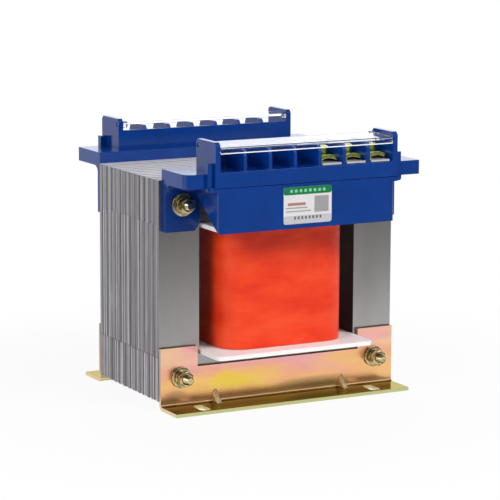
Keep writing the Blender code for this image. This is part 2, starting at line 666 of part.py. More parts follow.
def slant_cutter(side):
    """Takes the lower rear part of the skirt's side wall away, up a slope towards the core."""
    near = -SKIRT_DEPTH + SLANT_START
    far = -SEAT_GAP - EAR_THICKNESS - JOIN / 2
    low = SKIRT_BOTTOM + SKIRT_SLANT * (near + SKIRT_DEPTH)
    high = min(low + SKIRT_SLANT * (far - near), ROOF_BOTTOM - JOIN)
    outline = [(near, SKIRT_BOTTOM - CUT_MARGIN), (near, low), (near + (high - low) / SKIRT_SLANT, high),
               (far, high), (far, SKIRT_BOTTOM - CUT_MARGIN)]
    inside = SKIRT_REACH - SKIRT_WALL - JOIN
    return prism(outline, "X", side * inside, side * (SKIRT_REACH + JOIN))


def wing_pocket(side):
    """The hollow in the underside of a wing."""
    x = sorted((side * (POST_REACH + WING_WALL), side * (WING_REACH[side] - WING_WALL)))
    y = (-WING_DEPTH + WING_WALL, -SEAT_GAP - EAR_THICKNESS - WING_FILLET - WING_WALL / 2)
    return block(x, y, (WING_BOTTOM - CUT_MARGIN, WING_BOTTOM + WING_POCKET_DEPTH))


# Terminal strip, in the frame of the core's face

def compartment_x(number):
    return (number - (COMPARTMENTS - 1) / 2) * PITCH


def terminal_x(number):
    return compartment_x(COMPARTMENTS - TERMINALS + number)


def strip_form():
    """A floor with a front panel, back wall, end plates and partitions."""
    inner = STRIP_REACH - END_PLATE
    base = block((-STRIP_REACH, STRIP_REACH), (-STRIP_FRONT, -STRIP_BACK), (STRIP_BOTTOM, STRIP_FLOOR))
    wall = block((-inner - JOIN, inner + JOIN), (-STRIP_BACK - BACK_WALL, -STRIP_BACK),
                 (STRIP_FLOOR - JOIN, BACK_WALL_TOP))
    added = [wall]
    for side in (-1, 1):
        end = [(-STRIP_FRONT, STRIP_FLOOR - JOIN), (-STRIP_FRONT, END_PLATE_TOP - END_PLATE_CHAMFER),
               (-STRIP_FRONT + END_PLATE_CHAMFER, END_PLATE_TOP),
               (-STRIP_BACK - END_PLATE_CHAMFER, END_PLATE_TOP),
               (-STRIP_BACK, END_PLATE_TOP - END_PLATE_CHAMFER), (-STRIP_BACK, STRIP_FLOOR - JOIN)]
        added.append(prism(end, "X", side * inner, side * STRIP_REACH))
    front = PARTITION_SETBACK - STRIP_FRONT
    back_top = BACK_WALL_TOP - PARTITION_SINK
    rib = [(front, STRIP_FLOOR - JOIN), (front, PARTITION_TOP - PARTITION_CHAMFER_DROP),
           (front + PARTITION_CHAMFER_BACK, PARTITION_TOP),
           (-HINGE_REACH - HINGE_RELIEF_REACH, PARTITION_TOP), (-STRIP_BACK - BACK_WALL, back_top),
           (-STRIP_BACK - BACK_WALL / 2, back_top), (-STRIP_BACK - BACK_WALL / 2, STRIP_FLOOR - JOIN)]
    for number in range(COMPARTMENTS - 1):
        x = compartment_x(number) + PITCH / 2
        added.append(prism(rib, "X", x - PARTITION / 2, x + PARTITION / 2))
    hollow = block((-inner, inner), (-STRIP_FRONT + PANEL_WALL, -STRIP_BACK - BACK_WALL),
                   (STRIP_BOTTOM - CUT_MARGIN, STRIP_FLOOR - FLOOR_THICKNESS))
    hinge = drill((-STRIP_REACH - CUT_MARGIN, STRIP_REACH + CUT_MARGIN), -HINGE_REACH, HINGE_HEIGHT,
                  PIN_DIAMETER / 2 + HOLE_CLEARANCE, "X", HEX_ROUND)
    through = (STRIP_FLOOR - FLOOR_THICKNESS - JOIN, STRIP_FLOOR + JOIN)
    tail = TAIL_WIDTH / 2 + HOLE_CLEARANCE
    tail_back = PLATE_REARWARD - SCREW_REACH
    holes = []
    for number in range(COMPARTMENTS):
        x = compartment_x(number)
        holes.append(drill(x, -SCREW_REACH, through, SCREW_HOLE, "Z", HEX_ROUND))
        holes.append(block((x - tail, x + tail), (tail_back - PLATE_THICKNESS - HOLE_CLEARANCE,
                                                  tail_back + HOLE_CLEARANCE), through))
    return cut(joined(base, *added), hollow, hinge, merged(holes))


# Cover, round its hinge axis: x along the hinge, y falls towards the front edge

def cover_form():
    """A clear plate that falls to a lip at the front, with a knuckle and a pin at each end."""
    reach = STRIP_REACH - END_PLATE - SEAT_GAP
    front = HINGE_REACH - STRIP_FRONT + COVER_SETBACK
    pin_end = KNUCKLE_WIDTH + SEAT_GAP + END_PLATE - PIN_RECESS
    half = COVER_THICKNESS / 2
    outline = [(half, half + COVER_FALL), (front + half, half)]
    outline += arc((front + half, 0), half, 90, 180)[1:]
    outline += [(front, half - LIP_DEPTH), (front + LIP_THICKNESS, half - LIP_DEPTH),
                (front + LIP_THICKNESS, -half), (half, COVER_FALL - half)]
    plate = prism(outline, "X", -reach, reach)
    added = []
    for side in (-1, 1):
        knuckle = skin([ring(0, KNUCKLE_RADIUS, HEX_ROUND), ring(KNUCKLE_WIDTH, KNUCKLE_RADIUS, HEX_ROUND)])
        pin = skin([ring(KNUCKLE_WIDTH - JOIN, PIN_DIAMETER / 2, HEX_ROUND),
                    ring(pin_end, PIN_DIAMETER / 2, HEX_ROUND)])
        for form in (knuckle, pin):
            form.transform(Matrix.Translation((side * (reach - KNUCKLE_WIDTH), 0, 0))
                           @ Matrix.Rotation(side * math.pi / 2, 4, "Y"))
            added.append(form)
    return joined(plate, *added)


# Terminals, round the screw's axis

def plate_form():
    """A flat plate with a hole, and a tail bent down through the strip's floor."""
    flat = block((-PLATE_WIDTH / 2, PLATE_WIDTH / 2), (-PLATE_FORWARD, PLATE_REARWARD),
                 (PLATE_BOTTOM, PLATE_TOP))
    tail = block((-TAIL_WIDTH / 2, TAIL_WIDTH / 2),
                 (PLATE_REARWARD - PLATE_THICKNESS, PLATE_REARWARD - TAIL_SETBACK),
                 (TAIL_END, PLATE_TOP - PLATE_THICKNESS / 2))
    hole = drill(0, 0, (PLATE_BOTTOM - CUT_MARGIN, PLATE_TOP + CUT_MARGIN), SCREW_HOLE, "Z", HEX_ROUND)
    return cut(joined(flat, tail), hole)


def clamp_form(arch):
    """A saddle: an arched strip with a hole, its edges on z = 0."""
    reach = PLATE_WIDTH / 2 - CLAMP_INSET
    radius = (reach ** 2 + arch ** 2) / (2 * arch)
    spread = math.degrees(math.asin(reach / radius))
    middle = (0, arch - radius)
    steps = 2 * CORNER_STEPS
    outline = arc(middle, radius, 90 + spread, 90 - spread, steps)
    outline += arc(middle, radius + CLAMP_THICKNESS, 90 - spread, 90 + spread, steps)
    saddle = prism(outline, "Y", -CLAMP_FORWARD, CLAMP_REARWARD)
    hole = drill(0, 0, (-CUT_MARGIN, CUT_MARGIN + arch), SCREW_HOLE, "Z", HEX_ROUND)
    return cut(saddle, hole)


def screw_form(seat):
    """A cross-recessed screw with a captive washer, whose underside lies at a height."""
    radius = SCREW_DIAMETER / 2
    washer_top = seat + SCREW_WASHER_THICKNESS
    head = washer_top + SCREW_NECK_HEIGHT
    top = head + SCREW_HEAD_HEIGHT
    wide = SCREW_HEAD / 2
    profile = [(SCREW_END, radius - SCREW_CHAMFER), (SCREW_END + SCREW_CHAMFER, radius), (seat, radius),
               (seat, SCREW_WASHER / 2), (washer_top, SCREW_WASHER / 2),
               (washer_top, wide - SCREW_NECK_DEPTH), (head, wide), (head + SCREW_HEAD_SIDE, wide),
               (top, wide - SCREW_CROWN_INSET)]
    body = skin([ring(height, reach, HEX_ROUND) for height, reach in profile])
    span, width = RECESS_SPAN / 2, RECESS_WIDTH / 2
    deep = (top - RECESS_DEPTH, top + CUT_MARGIN)
    recess = joined(block((-span, span), (-width, width), deep), block((-width, width), (-span, span), deep))
    return cut(body, recess)


# Leads

def lead(name, side, number, finish, parent):
    """A wire from the top of a winding to the tail of a terminal, in a smooth S."""
    x, y = lead_exit(side, number)
    start = Vector((x, y, COIL_TOP + SEAT_GAP))
    end = Vector((terminal_x(number), -LEAD_REACH, LEAD_TOP))
    low = FORMER_TOP + LEAD_STRAIGHT
    high = ROOF_BOTTOM - LEAD_STRAIGHT
    points = [start]
    for step in range(LEAD_STEPS + 1):
        share = step / LEAD_STEPS
        ease = share * share * (3 - 2 * share)
        z = low + (high - low) * share
        points.append(Vector((start.x + (end.x - start.x) * ease, start.y + (end.y - start.y) * ease, z)))
    points.append(end)
    curve = bpy.data.curves.new(name, "CURVE")
    curve.dimensions = "3D"
    curve.bevel_depth = LEAD_DIAMETER / 2
    curve.bevel_resolution = LEAD_ROUND
    curve.use_fill_caps = True
    spline = curve.splines.new("POLY")
    spline.points.add(len(points) - 1)
    for point, place in zip(spline.points, points):
        point.co = (*place, 1)
    curve.materials.append(finish)
    made = bpy.data.objects.new(name, curve)
    bpy.context.scene.collection.objects.link(made)
    made.parent = parent
    return made


# Assembly

def place_core(finishes):
    piece("core_laminations", core_form(), finishes["steel"])
    piece("coil_former", former_form(), finishes["former"])
    for name, start, build, finish in (
            ("primary_winding", PRIMARY_START, PRIMARY_BUILD, "copper"),
            ("winding_insulation", INSULATION_START, INSULATION_BUILD, "paper"),
            ("secondary_winding", SECONDARY_START, SECONDARY_BUILD, "copper"),
            ("coil_wrap", WRAP_START, WRAP_BUILD, "tape")):
        piece(name, winding_form(start, build), finishes[finish])


def place_bolts(finishes):
    """Each bolt runs from its head at the rear, through the core, to its nut at the front."""
    to_front = (math.pi / 2, 0, 0)
    spring = spring_washer_form()
    nut = nut_form()
    for level, z, clamped, washer_across, end in (
            ("lower", BOLT_LOW, SHEET, LOWER_WASHER_DIAMETER, LOWER_BOLT_END),
            ("upper", BOLT_HIGH, EAR_THICKNESS, UPPER_WASHER_DIAMETER, UPPER_BOLT_END)):
        face = FACE + SEAT_GAP + clamped + SEAT_GAP
        spring_at = face + WASHER_THICKNESS + SEAT_GAP
        nut_at = spring_at + SPRING_WASHER_THICKNESS + SEAT_GAP
        head_at = face + WASHER_THICKNESS + SEAT_GAP
        washer = washer_form(washer_across / 2, BOLT_HOLE, WASHER_THICKNESS)
        bolt = bolt_form(head_at + nut_at + NUT_HEIGHT + end)
        for hand, x in (("left", -BOLT_X), ("right", BOLT_X)):
            spot = f"{level}_{hand}"
            plated = finishes["zinc"]
            piece(f"bolt_{spot}", bolt, plated, None, (x, head_at, z), to_front)
            piece(f"nut_{spot}", nut, plated, None, (x, -nut_at, z), to_front)
            piece(f"spring_washer_{spot}", spring, plated, None, (x, -spring_at, z), to_front)
            piece(f"front_washer_{spot}", washer, plated, None, (x, -face, z), to_front)
            piece(f"rear_washer_{spot}", washer, plated, None, (x, face + WASHER_THICKNESS, z), to_front)


def place_terminals(side, face, finishes, lift, arch):
    """Three sets of plate, clamp and screw. The clamp hangs on its screw, loosened or tight."""
    plate = plate_form()
    clamp = clamp_form(arch)
    clamp_at = PLATE_TOP + SEAT_GAP + lift
    screw = screw_form(clamp_at + arch + CLAMP_THICKNESS + SEAT_GAP)
    for number in range(TERMINALS):
        x = terminal_x(number)
        tag = f"{side}_terminal_{{}}_{number + 1}"
        piece(tag.format("plate"), plate, finishes["tin"], face, (x, -SCREW_REACH, 0))
        piece(tag.format("clamp"), clamp, finishes["zinc"], face, (x, -SCREW_REACH, clamp_at))
        piece(tag.format("screw"), screw, finishes["zinc"], face, (x, -SCREW_REACH, 0))
        lead(f"{side}_lead_{number + 1}", side, number, finishes["copper"], face)


def place_blocks(finishes):
    """The foot, the frame, the strip, the cover and the terminals on each face of the core."""
    foot = foot_form()
    frame = frame_form()
    strip = strip_form()
    cover = cover_form()
    settings = (("front", -FACE, 0.0, OPEN_CLAMP_LIFT, OPEN_CLAMP_ARCH),
                ("rear", FACE, math.pi, 0.0, TIGHT_CLAMP_ARCH))
    for side, y, turn, lift, arch in settings:
        face = empty(f"{side}_face", (0, y, 0), (0, 0, turn))
        hinge = empty(f"{side}_hinge", (0, -HINGE_REACH, HINGE_HEIGHT), parent=face)
        piece(f"{side}_foot", foot, finishes["zinc"], face)
        piece(f"{side}_terminal_frame", frame, finishes["blue"], face)
        piece(f"{side}_terminal_strip", strip, finishes["blue"], face)
        piece(f"{side}_cover", cover, finishes["clear"], hinge)
        place_terminals(side, face, finishes, lift, arch)


def build():
    clear_scene()
    finishes = {
        "steel": material("lamination_steel", (0.36, 0.35, 0.34), 0.42, 0.75),
        "former": material("former_nylon", (0.86, 0.84, 0.80), 0.45),
        "copper": material("enamelled_copper", (0.62, 0.26, 0.12), 0.30, 0.9),
        "paper": material("insulation_paper", (0.72, 0.60, 0.40), 0.80),
        "tape": material("wound_tape", (0.86, 0.09, 0.03), 0.38),
        "zinc": material("yellow_zinc", (0.78, 0.58, 0.36), 0.28, 0.95),
        "tin": material("tinned_plate", (0.80, 0.79, 0.77), 0.25, 0.95),
        "blue": material("blue_moulding", (0.010, 0.075, 0.33), 0.32),
        "clear": material("clear_cover", (0.93, 0.94, 0.96), 0.08, 0.0, 0.95),
    }
    place_core(finishes)
    place_bolts(finishes)
    place_blocks(finishes)


build()
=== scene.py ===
"""Looks of the step-down transformer: finishes, fine fasteners, the wound tape, the label and the studio.

Lengths are in metres and places are in the row frame: +X right, +Y to the rear, +Z up.
Finishes are laid out in millimetres, apart from the floor's.
"""

import math

import bmesh
import bpy
from mathutils import Matrix, Vector, noise

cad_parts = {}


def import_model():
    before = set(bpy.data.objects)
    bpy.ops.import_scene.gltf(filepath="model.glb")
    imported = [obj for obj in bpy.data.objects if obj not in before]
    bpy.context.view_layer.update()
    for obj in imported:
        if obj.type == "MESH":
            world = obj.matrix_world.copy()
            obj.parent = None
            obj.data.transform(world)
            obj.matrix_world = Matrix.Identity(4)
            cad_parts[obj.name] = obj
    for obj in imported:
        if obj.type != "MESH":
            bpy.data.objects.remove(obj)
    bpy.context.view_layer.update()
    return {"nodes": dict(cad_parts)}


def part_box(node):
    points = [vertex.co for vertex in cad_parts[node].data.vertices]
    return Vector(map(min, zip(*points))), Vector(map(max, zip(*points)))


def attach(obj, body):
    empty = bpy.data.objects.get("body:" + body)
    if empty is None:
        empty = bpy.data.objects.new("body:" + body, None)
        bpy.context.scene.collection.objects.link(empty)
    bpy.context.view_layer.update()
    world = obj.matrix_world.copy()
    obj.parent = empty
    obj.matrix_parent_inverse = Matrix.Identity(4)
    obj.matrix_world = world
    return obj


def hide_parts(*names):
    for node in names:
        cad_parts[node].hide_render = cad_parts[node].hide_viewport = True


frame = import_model()

MM = 0.001
BODY = "transformer"

# Camera, from the perspective of the core's edges
CAMERA_PLACE = (-0.6430, -1.2103, 0.3140)
CAMERA_YAW = 0.490281
CAMERA_PITCH = 0.169817
CAMERA_ROLL = -0.00415
CAMERA_LENS = 172.04
CAMERA_SENSOR = 36.0
CAMERA_RANGE = (0.01, 50.0)

# Lamps: place, target, width and height, power
LAMPS = {
    "key": ((0.75, -1.35, 1.25), (0, 0, 0.07), (0.9, 0.7), 24),
    "fill": ((-1.5, -0.6, 0.7), (0, 0, 0.07), (0.9, 0.9), 12),
    "back": ((0.35, 1.6, 0.55), (0, 0, 0.1), (1.6, 0.7), 9),
}
WINDOW_LIGHT = 2.4
DULL_LIGHT = 0.30
FLOOR_RADIUS = 3.0
FLOOR_DROP = 0.05 * MM
FLOOR_SIDES = 64

# Core, as in the frame
HALF_STACK = 39 * MM
PACKETS = 25
SHEET_PITCH = 0.5 * MM
LOWER_JOINT = 29.5 * MM
UPPER_JOINT = 104.5 * MM
WINDOW_EDGE = 60 * MM
GUSSET_PLACE = 41 * MM

# Offsets that give each zone of the core's side stripes of its own
LOWER_SHIFT = 37.3
UPPER_SHIFT = 71.9
FINE_SHIFT = 11.0
PACKET_SHIFT = 0.618

# Edges of carried-over solids
WELD = 0.002 * MM
FLAT_ANGLE = math.radians(0.6)
ROUND_ANGLE = math.radians(35)
EDGE_ANGLE = math.radians(38)
FORMER_EDGE = 0.35 * MM
FOOT_EDGE = 0.25 * MM
FRAME_EDGE = 0.30 * MM
STRIP_EDGE = 0.25 * MM
COVER_EDGE = 0.15 * MM
CLAMP_EDGE = 0.15 * MM
PLATE_EDGE = 0.12 * MM

# Fasteners
THREAD_PITCH = 0.8 * MM
THREAD_DEPTH = 0.36 * MM
THREAD_SIDES = 28
THREAD_STEPS = 8
OVERLAP = 0.1 * MM
BOLT_RADIUS = 2.5 * MM
BOLT_HEAD = 3.5 * MM
BOLT_CHAMFER = 0.8 * MM
SHANK_CORE = 0.05 * MM
SHANK_START = 0.5 * MM
SHANK_SIDES = 32
NUT_ACROSS = 8 * MM
NUT_BORE = 2.52 * MM
HEX_SIDES = 72
HEX_FLAT = 0.97
HEX_CONE = math.radians(30)
WASHER_HOLE = 2.8 * MM
WASHER_EDGE = 0.25 * MM
WASHER_SIDES = 48
SPRING_RADIUS = 4.6 * MM
SPRING_GAP = 12

# Terminal screws
SCREW_RADIUS = 2.0 * MM
SCREW_PITCH = 0.7 * MM
SCREW_THREAD_DEPTH = 0.3 * MM
SCREW_SIDES = 36
SCREW_EDGE = 0.2 * MM
SCREW_NECK = 0.35 * MM
HEAD_RADIUS = 3.8 * MM
HEAD_HEIGHT = 2.4 * MM
HEAD_SIDE = 1.2 * MM
CROWN_STEPS = 6
CROWN_ROUND = 1.3 * MM
CROWN_FLAT = 1.6 * MM
CAPTIVE_RADIUS = 3.5 * MM
CAPTIVE_THICKNESS = 1.3 * MM
CAPTIVE_SHADOW = 0.6 * MM
RECESS_SPAN = 2.1 * MM
RECESS_WIDTH = 0.42 * MM
RECESS_DEPTH = 1.2 * MM
RECESS_TAPER = 0.65

# Clear covers
LIP_BOTTOM = 146.7 * MM

# Wound tape
TAPE_CORNER = 13.3 * MM
TAPE_THICKNESS = 0.7 * MM
TAPE_BOW = 0.35 * MM
TAPE_CREASE = 0.05 * MM
TAPE_RIPPLE = 0.03 * MM
TAPE_SINK = 0.12 * MM
TAPE_ROWS = 56
TAPE_CORNER_STEPS = 10
TAPE_SIDE_STEPS = 22
TAPE_ANGLE = math.radians(50)
CREASE_GRAIN = Vector((14, 14, 260))
RIPPLE_GRAIN = 60
RIPPLE_SHIFT = Vector((0, 0, 7))

# Label on the front skirt
LABEL_LEFT = -15.4 * MM
LABEL_RIGHT = 15.0 * MM
LABEL_BOTTOM = 105.4 * MM
LABEL_TOP = 126.0 * MM
LABEL_CORNER = 1.3 * MM
LABEL_CORNER_STEPS = 6
LABEL_THICKNESS = 0.10 * MM
LABEL_HEADER = 4.3 * MM
LABEL_FOOTER = 4.6 * MM
LABEL_SINK = 0.02 * MM
LABEL_LAYER = 0.03 * MM
LABEL_BLOCKS = 8


# Shader nodes

def opaque(value):
    """A colour of three channels with its alpha, and anything else as it is."""
    return (*value, 1.0) if isinstance(value, tuple) else value


class Graph:
    """Adds nodes to a node tree and links them."""

    def __init__(self, tree):
        self.tree = tree

    def feed(self, socket, value):
        """Links a socket to another, or sets it."""
        if isinstance(value, bpy.types.NodeSocket):
            self.tree.links.new(value, socket)
        else:
            socket.default_value = value

    def add(self, kind, inputs=None, **settings):
        node = self.tree.nodes.new("ShaderNode" + kind)
        for name, value in settings.items():
            setattr(node, name, value)
        for key, value in (inputs or {}).items():
            self.feed(node.inputs[key], value)
        return node

    def math(self, operation, *values, clamp=False):
        return self.add("Math", dict(enumerate(values)), operation=operation, use_clamp=clamp).outputs[0]

    def plus(self, one, other):
        return self.math("ADD", one, other)

    def minus(self, one, other):
        return self.math("SUBTRACT", one, other)

    def times(self, one, other):
        return self.math("MULTIPLY", one, other)

    def apart(self, one, other):
        """How far two values are from each other."""
        return self.math("ABSOLUTE", self.minus(one, other))

    def scaled(self, value, scale, start):
        return self.plus(self.times(value, scale), start)

    def place(self, scale=1 / MM):
        """The position on the piece as a vector, by default in millimetres."""
        spot = self.add("TexCoord").outputs["Object"]
        return self.add("VectorMath", {0: spot, 3: scale}, operation="SCALE").outputs[0]

    def split(self, vector):
        return self.add("SeparateXYZ", {0: vector}).outputs

    def joined(self, x=0.0, y=0.0, z=0.0):
        return self.add("CombineXYZ", {0: x, 1: y, 2: z}).outputs[0]

    def facing(self, axis):
        """1 where the surface faces along an axis either way, and 0 where it doesn't."""
        normal = self.split(self.add("NewGeometry").outputs["Normal"])["XYZ".index(axis)]
        return self.band(self.math("ABSOLUTE", normal), 0.6, 0.8)

    def noise(self, vector, scale, detail=2.0, rough=0.5, distortion=0.0):
        inputs = {"Vector": vector, "Scale": scale, "Detail": detail, "Roughness": rough,
                  "Distortion": distortion}
        return self.add("TexNoise", inputs).outputs[0]

    def line(self, value, scale, detail):
        """Noise along one value."""
        inputs = {"W": value, "Scale": scale, "Detail": detail}
        return self.add("TexNoise", inputs, noise_dimensions="1D").outputs[0]

    def band(self, value, low, high, start=0.0, end=1.0, kind="SMOOTHSTEP"):
        """A step from start to end as the value goes from low to high, smooth or else linear."""
        inputs = {0: value, 1: low, 2: high, 3: start, 4: end}
        return self.add("MapRange", inputs, interpolation_type=kind).outputs[0]

    def spot(self, x, z, centre, size):
        """1 in the middle of an ellipse in x and z, and 0 outside it."""
        across = self.math("DIVIDE", self.minus(x, centre[0]), size[0])
        up = self.math("DIVIDE", self.minus(z, centre[1]), size[1])
        square = self.plus(self.math("POWER", across, 2.0), self.math("POWER", up, 2.0))
        return self.band(square, 1.0, 0.0)

    def ramp(self, factor, stops):
        """A colour from stops of (position, colour)."""
        node = self.add("ValToRGB", {0: factor})
        elements = node.color_ramp.elements
        while len(elements) < len(stops):
            elements.new(0.5)
        for element, (position, colour) in zip(elements, stops):
            element.position = position
            element.color = opaque(colour)
        return node.outputs[0]

    def mix(self, factor, one, other):
        """A colour between two others."""
        inputs = {0: factor, 6: opaque(one), 7: opaque(other)}
        return self.add("Mix", inputs, data_type="RGBA").outputs[2]

    def bump(self, height, distance, strength):
        return self.add("Bump", {"Height": height, "Distance": distance, "Strength": strength}).outputs[0]


class Finish(Graph):
    """The nodes of a material."""

    def __init__(self, name):
        self.material = bpy.data.materials.new(name)
        self.material.use_nodes = True
        super().__init__(self.material.node_tree)
        self.shader = self.tree.nodes["Principled BSDF"]

    def finish(self, **values):
        """Sets the shader's sockets, with spaces in their names written as underscores."""
        for name, value in values.items():
            self.feed(self.shader.inputs[name.replace("_", " ")], opaque(value))
        return self.material

    def blend(self, share, other):
        """Gives the output a share of another shader."""
        mixed = self.add("MixShader", {0: share, 1: self.shader.outputs[0], 2: other})
        self.feed(self.tree.nodes["Material Output"].inputs[0], mixed.outputs[0])


def core_finish():
    """Bare sheet steel: plain faces front and rear, and the striped edges of the sheets all round."""
    g = Finish("core_steel")
    x, y, z = g.split(g.place())
    packet = 2 * HALF_STACK / PACKETS / MM
    number = g.math("FLOOR", g.math("DIVIDE", g.plus(y, HALF_STACK / MM), packet))
    jitter = g.times(g.math("FRACT", g.times(number, PACKET_SHIFT)), 0.5)
    low = g.math("LESS_THAN", z, g.plus(jitter, LOWER_JOINT / MM))
    high = g.math("GREATER_THAN", z, g.minus(UPPER_JOINT / MM, jitter))
    below = g.plus(y, g.times(low, LOWER_SHIFT))
    zoned = g.plus(below, g.times(high, UPPER_SHIFT))
    drift = g.times(g.noise(g.joined(y, 0.0, g.times(z, 0.02)), 0.8), 1.6)
    wide = g.line(g.plus(zoned, drift), 0.28, 0.0)
    middle = g.line(below, 0.80, 0.0)
    fine = g.line(g.plus(below, FINE_SHIFT), 2.1, 1.0)
    stripes = g.plus(g.times(wide, 0.20), g.times(middle, 0.34))
    stripes = g.plus(stripes, g.times(fine, 0.46))
    wear = g.noise(g.joined(g.times(y, 1.5), x, g.times(z, 0.08)), 0.6, 4.0)
    stripes = g.plus(stripes, g.times(g.minus(wear, 0.5), 0.16))
    edges = g.ramp(stripes, [(0.35, (0.062, 0.055, 0.062)), (0.45, (0.18, 0.168, 0.180)),
                             (0.52, (0.28, 0.265, 0.275)), (0.58, (0.41, 0.393, 0.400)),
                             (0.66, (0.80, 0.78, 0.78))])
    edges = g.mix(g.times(high, 0.38), edges, (0.25, 0.238, 0.25))
    joint = g.band(g.apart(z, LOWER_JOINT / MM), 0.1, 0.7, 0.45, 0.0)
    edges = g.mix(joint, edges, (0.10, 0.095, 0.105))
    # Painted shade: the inner faces of the core's window, facing X, are painted near black, standing in for
    # the shade in the gap beside the coil.
    window_shade = g.math("LESS_THAN", g.math("ABSOLUTE", x), WINDOW_EDGE / MM)
    edges = g.mix(g.times(window_shade, g.facing("X")), edges, (0.014, 0.010, 0.010))
    sheet = g.math("FRACT", g.math("DIVIDE", y, SHEET_PITCH / MM))
    seam = g.band(g.apart(sheet, 0.5), 0.30, 0.46)
    top = g.facing("Z")
    edges = g.mix(g.times(seam, g.band(top, 0.0, 1.0, 0.45, 0.20)), edges, (0.05, 0.05, 0.05))
    haze = g.noise(g.joined(x, y, g.times(z, 0.35)), 0.035, 3.0)
    face = g.ramp(haze, [(0.30, (0.37, 0.365, 0.35)), (0.5, (0.43, 0.42, 0.41)),
                         (0.70, (0.49, 0.475, 0.475))])
    brushing = g.noise(g.joined(g.times(x, 5.0), y, g.times(z, 0.10)), 0.9, 3.0)
    face = g.mix(g.times(brushing, 0.18), face, (0.30, 0.30, 0.31))
    outer = g.math("GREATER_THAN", g.math("ABSOLUTE", y), HALF_STACK / MM - 0.3)
    plain = g.times(g.facing("Y"), outer)
    # Painted sheen: the tops of the sheets are painted near white, standing in for the light they catch from
    # above.
    edges = g.mix(g.times(top, 0.85), edges, (0.96, 0.94, 0.95))
    colour = g.mix(plain, edges, face)
    ridge = g.times(g.minus(1.0, plain), g.minus(1.0, seam))
    height = g.plus(ridge, g.times(brushing, 0.12))
    rough = g.minus(g.band(plain, 0.0, 1.0, 0.46, 0.25), g.times(top, 0.16))
    metal = g.minus(g.band(plain, 0.0, 1.0, 0.55, 0.95), g.times(top, 0.50))
    return g.finish(Base_Color=colour, Metallic=metal, Roughness=rough,
                    Normal=g.bump(height, 0.03 * MM, 0.6))


def blue_finish():
    """Blue moulded plastic with a fine grain and a soft gloss."""
    g = Finish("blue_plastic")
    spot = g.place()
    cloud = g.noise(spot, 0.06, 3.0)
    grain = g.noise(spot, 2.2, 3.0)
    flow = g.noise(spot, 0.25, 2.0)
    colour = g.ramp(cloud, [(0.3, (0.0008, 0.034, 0.205)), (0.7, (0.0016, 0.041, 0.245))])
    height = g.plus(g.times(grain, 0.35), flow)
    return g.finish(Base_Color=colour, Roughness=g.scaled(flow, 0.08, 0.11), Specular_IOR_Level=0.46,
                    Normal=g.bump(height, 0.04 * MM, 0.5))


def zinc_finish():
    """Yellow chromate on zinc: a mirror-like film that drifts from pink through gold to green."""
    g = Finish("yellow_zinc")
    spot = g.place()
    x, y, z = g.split(spot)
    drift = g.noise(g.joined(g.times(x, 0.4), y, z), 0.06, 2.0, 0.5, 0.4)
    level = g.plus(g.times(z, 0.025), g.times(g.minus(drift, 0.5), 1.1))
    film = g.ramp(level, [(0.08, (0.86, 0.42, 0.20)), (0.26, (0.95, 0.55, 0.22)),
                          (0.42, (0.95, 0.48, 0.24)), (0.58, (0.90, 0.42, 0.38)),
                          (0.78, (0.97, 0.53, 0.44))])
    sway = g.minus(g.noise(spot, 0.09, 2.0), 0.5)
    along = g.plus(x, g.times(sway, 26.0))
    above = g.plus(z, g.times(sway, -9.0))
    patches = (
        (along, above, (-28.0, 13.0), (44.0, 9.0), 0.62, (0.94, 0.60, 0.16)),
        (along, above, (-31.0, 13.0), (19.0, 6.5), 0.64, (0.88, 0.66, 0.05)),
        (x, z, (36.0, 17.5), (20.0, 8.0), 0.45, (0.96, 0.58, 0.24)),
        (x, z, (5.0, 24.5), (44.0, 5.0), 0.70, (0.84, 0.40, 0.46)),
    )
    for across, up, centre, size, share, tint in patches:
        film = g.mix(g.times(g.spot(across, up, centre, size), share), film, tint)
    tab = g.band(z, 20.0, 27.0)
    blush = g.ramp(drift, [(0.38, (1.0, 0.64, 0.38)), (0.60, (0.98, 0.47, 0.47))])
    film = g.mix(g.times(tab, 0.85), film, blush)
    # Painted shade: two darker brown patches low on the web, near the bend.
    low_web_shade = g.math("MAXIMUM", g.spot(x, z, (24.0, 7.0), (30.0, 4.0)), g.spot(x, z, (-66.0, 7.5), (9.0, 4.0)))
    film = g.mix(g.times(low_web_shade, 0.7), film, (0.40, 0.26, 0.13))
    # Painted shade: the web darkens to brown towards the bend at its foot.
    film = g.mix(g.band(z, 6.5, 3.0, 0.0, 0.55), film, (0.42, 0.29, 0.15))
    cut = g.ramp(g.band(z, 3.0, 9.0), [(0.0, (0.84, 0.70, 0.50)), (1.0, (0.44, 0.40, 0.34))])
    film = g.mix(g.times(g.facing("X"), 0.8), film, cut)
    # Painted reflection: the flat tops of the foot are painted dark olive brown, standing in for the dark
    # things they mirror.
    flat = g.facing("Z")
    film = g.mix(flat, film, (0.34, 0.29, 0.14))
    rim = g.times(g.facing("Y"), g.math("LESS_THAN", z, 2.2))
    film = g.mix(rim, film, (0.66, 0.66, 0.30))
    # Painted highlight: the gusset ribs are painted pale cream and made a little less metallic, standing in
    # for the highlight they catch from the lamp.
    beside = g.apart(g.math("ABSOLUTE", x), GUSSET_PLACE / MM)
    outside = g.math("GREATER_THAN", g.math("ABSOLUTE", y), HALF_STACK / MM + 2.6)
    rib = g.times(g.band(beside, 2.4, 1.7), g.band(z, 2.2, 2.7))
    rib = g.times(rib, outside)
    film = g.mix(rib, film, (0.82, 0.68, 0.42))
    smear = g.noise(g.joined(g.times(x, 0.25), y, z), 0.22, 2.0)
    fleck = g.noise(spot, 1.3, 3.0)
    gloss = g.plus(g.times(smear, 0.12), g.times(fleck, 0.05))
    bend = g.times(g.band(z, 5.0, 3.5), g.minus(1.0, flat))
    rough = g.plus(gloss, g.band(flat, 0.0, 1.0, 0.14, 0.02))
    rough = g.plus(rough, g.times(bend, 0.22))
    height = g.plus(smear, g.times(fleck, 0.04))
    return g.finish(Base_Color=film, Metallic=g.band(rib, 0.0, 1.0, 1.0, 0.80), Roughness=rough,
                    Specular_Tint=(0.80, 0.76, 0.46), Normal=g.bump(height, 0.05 * MM, 0.25))


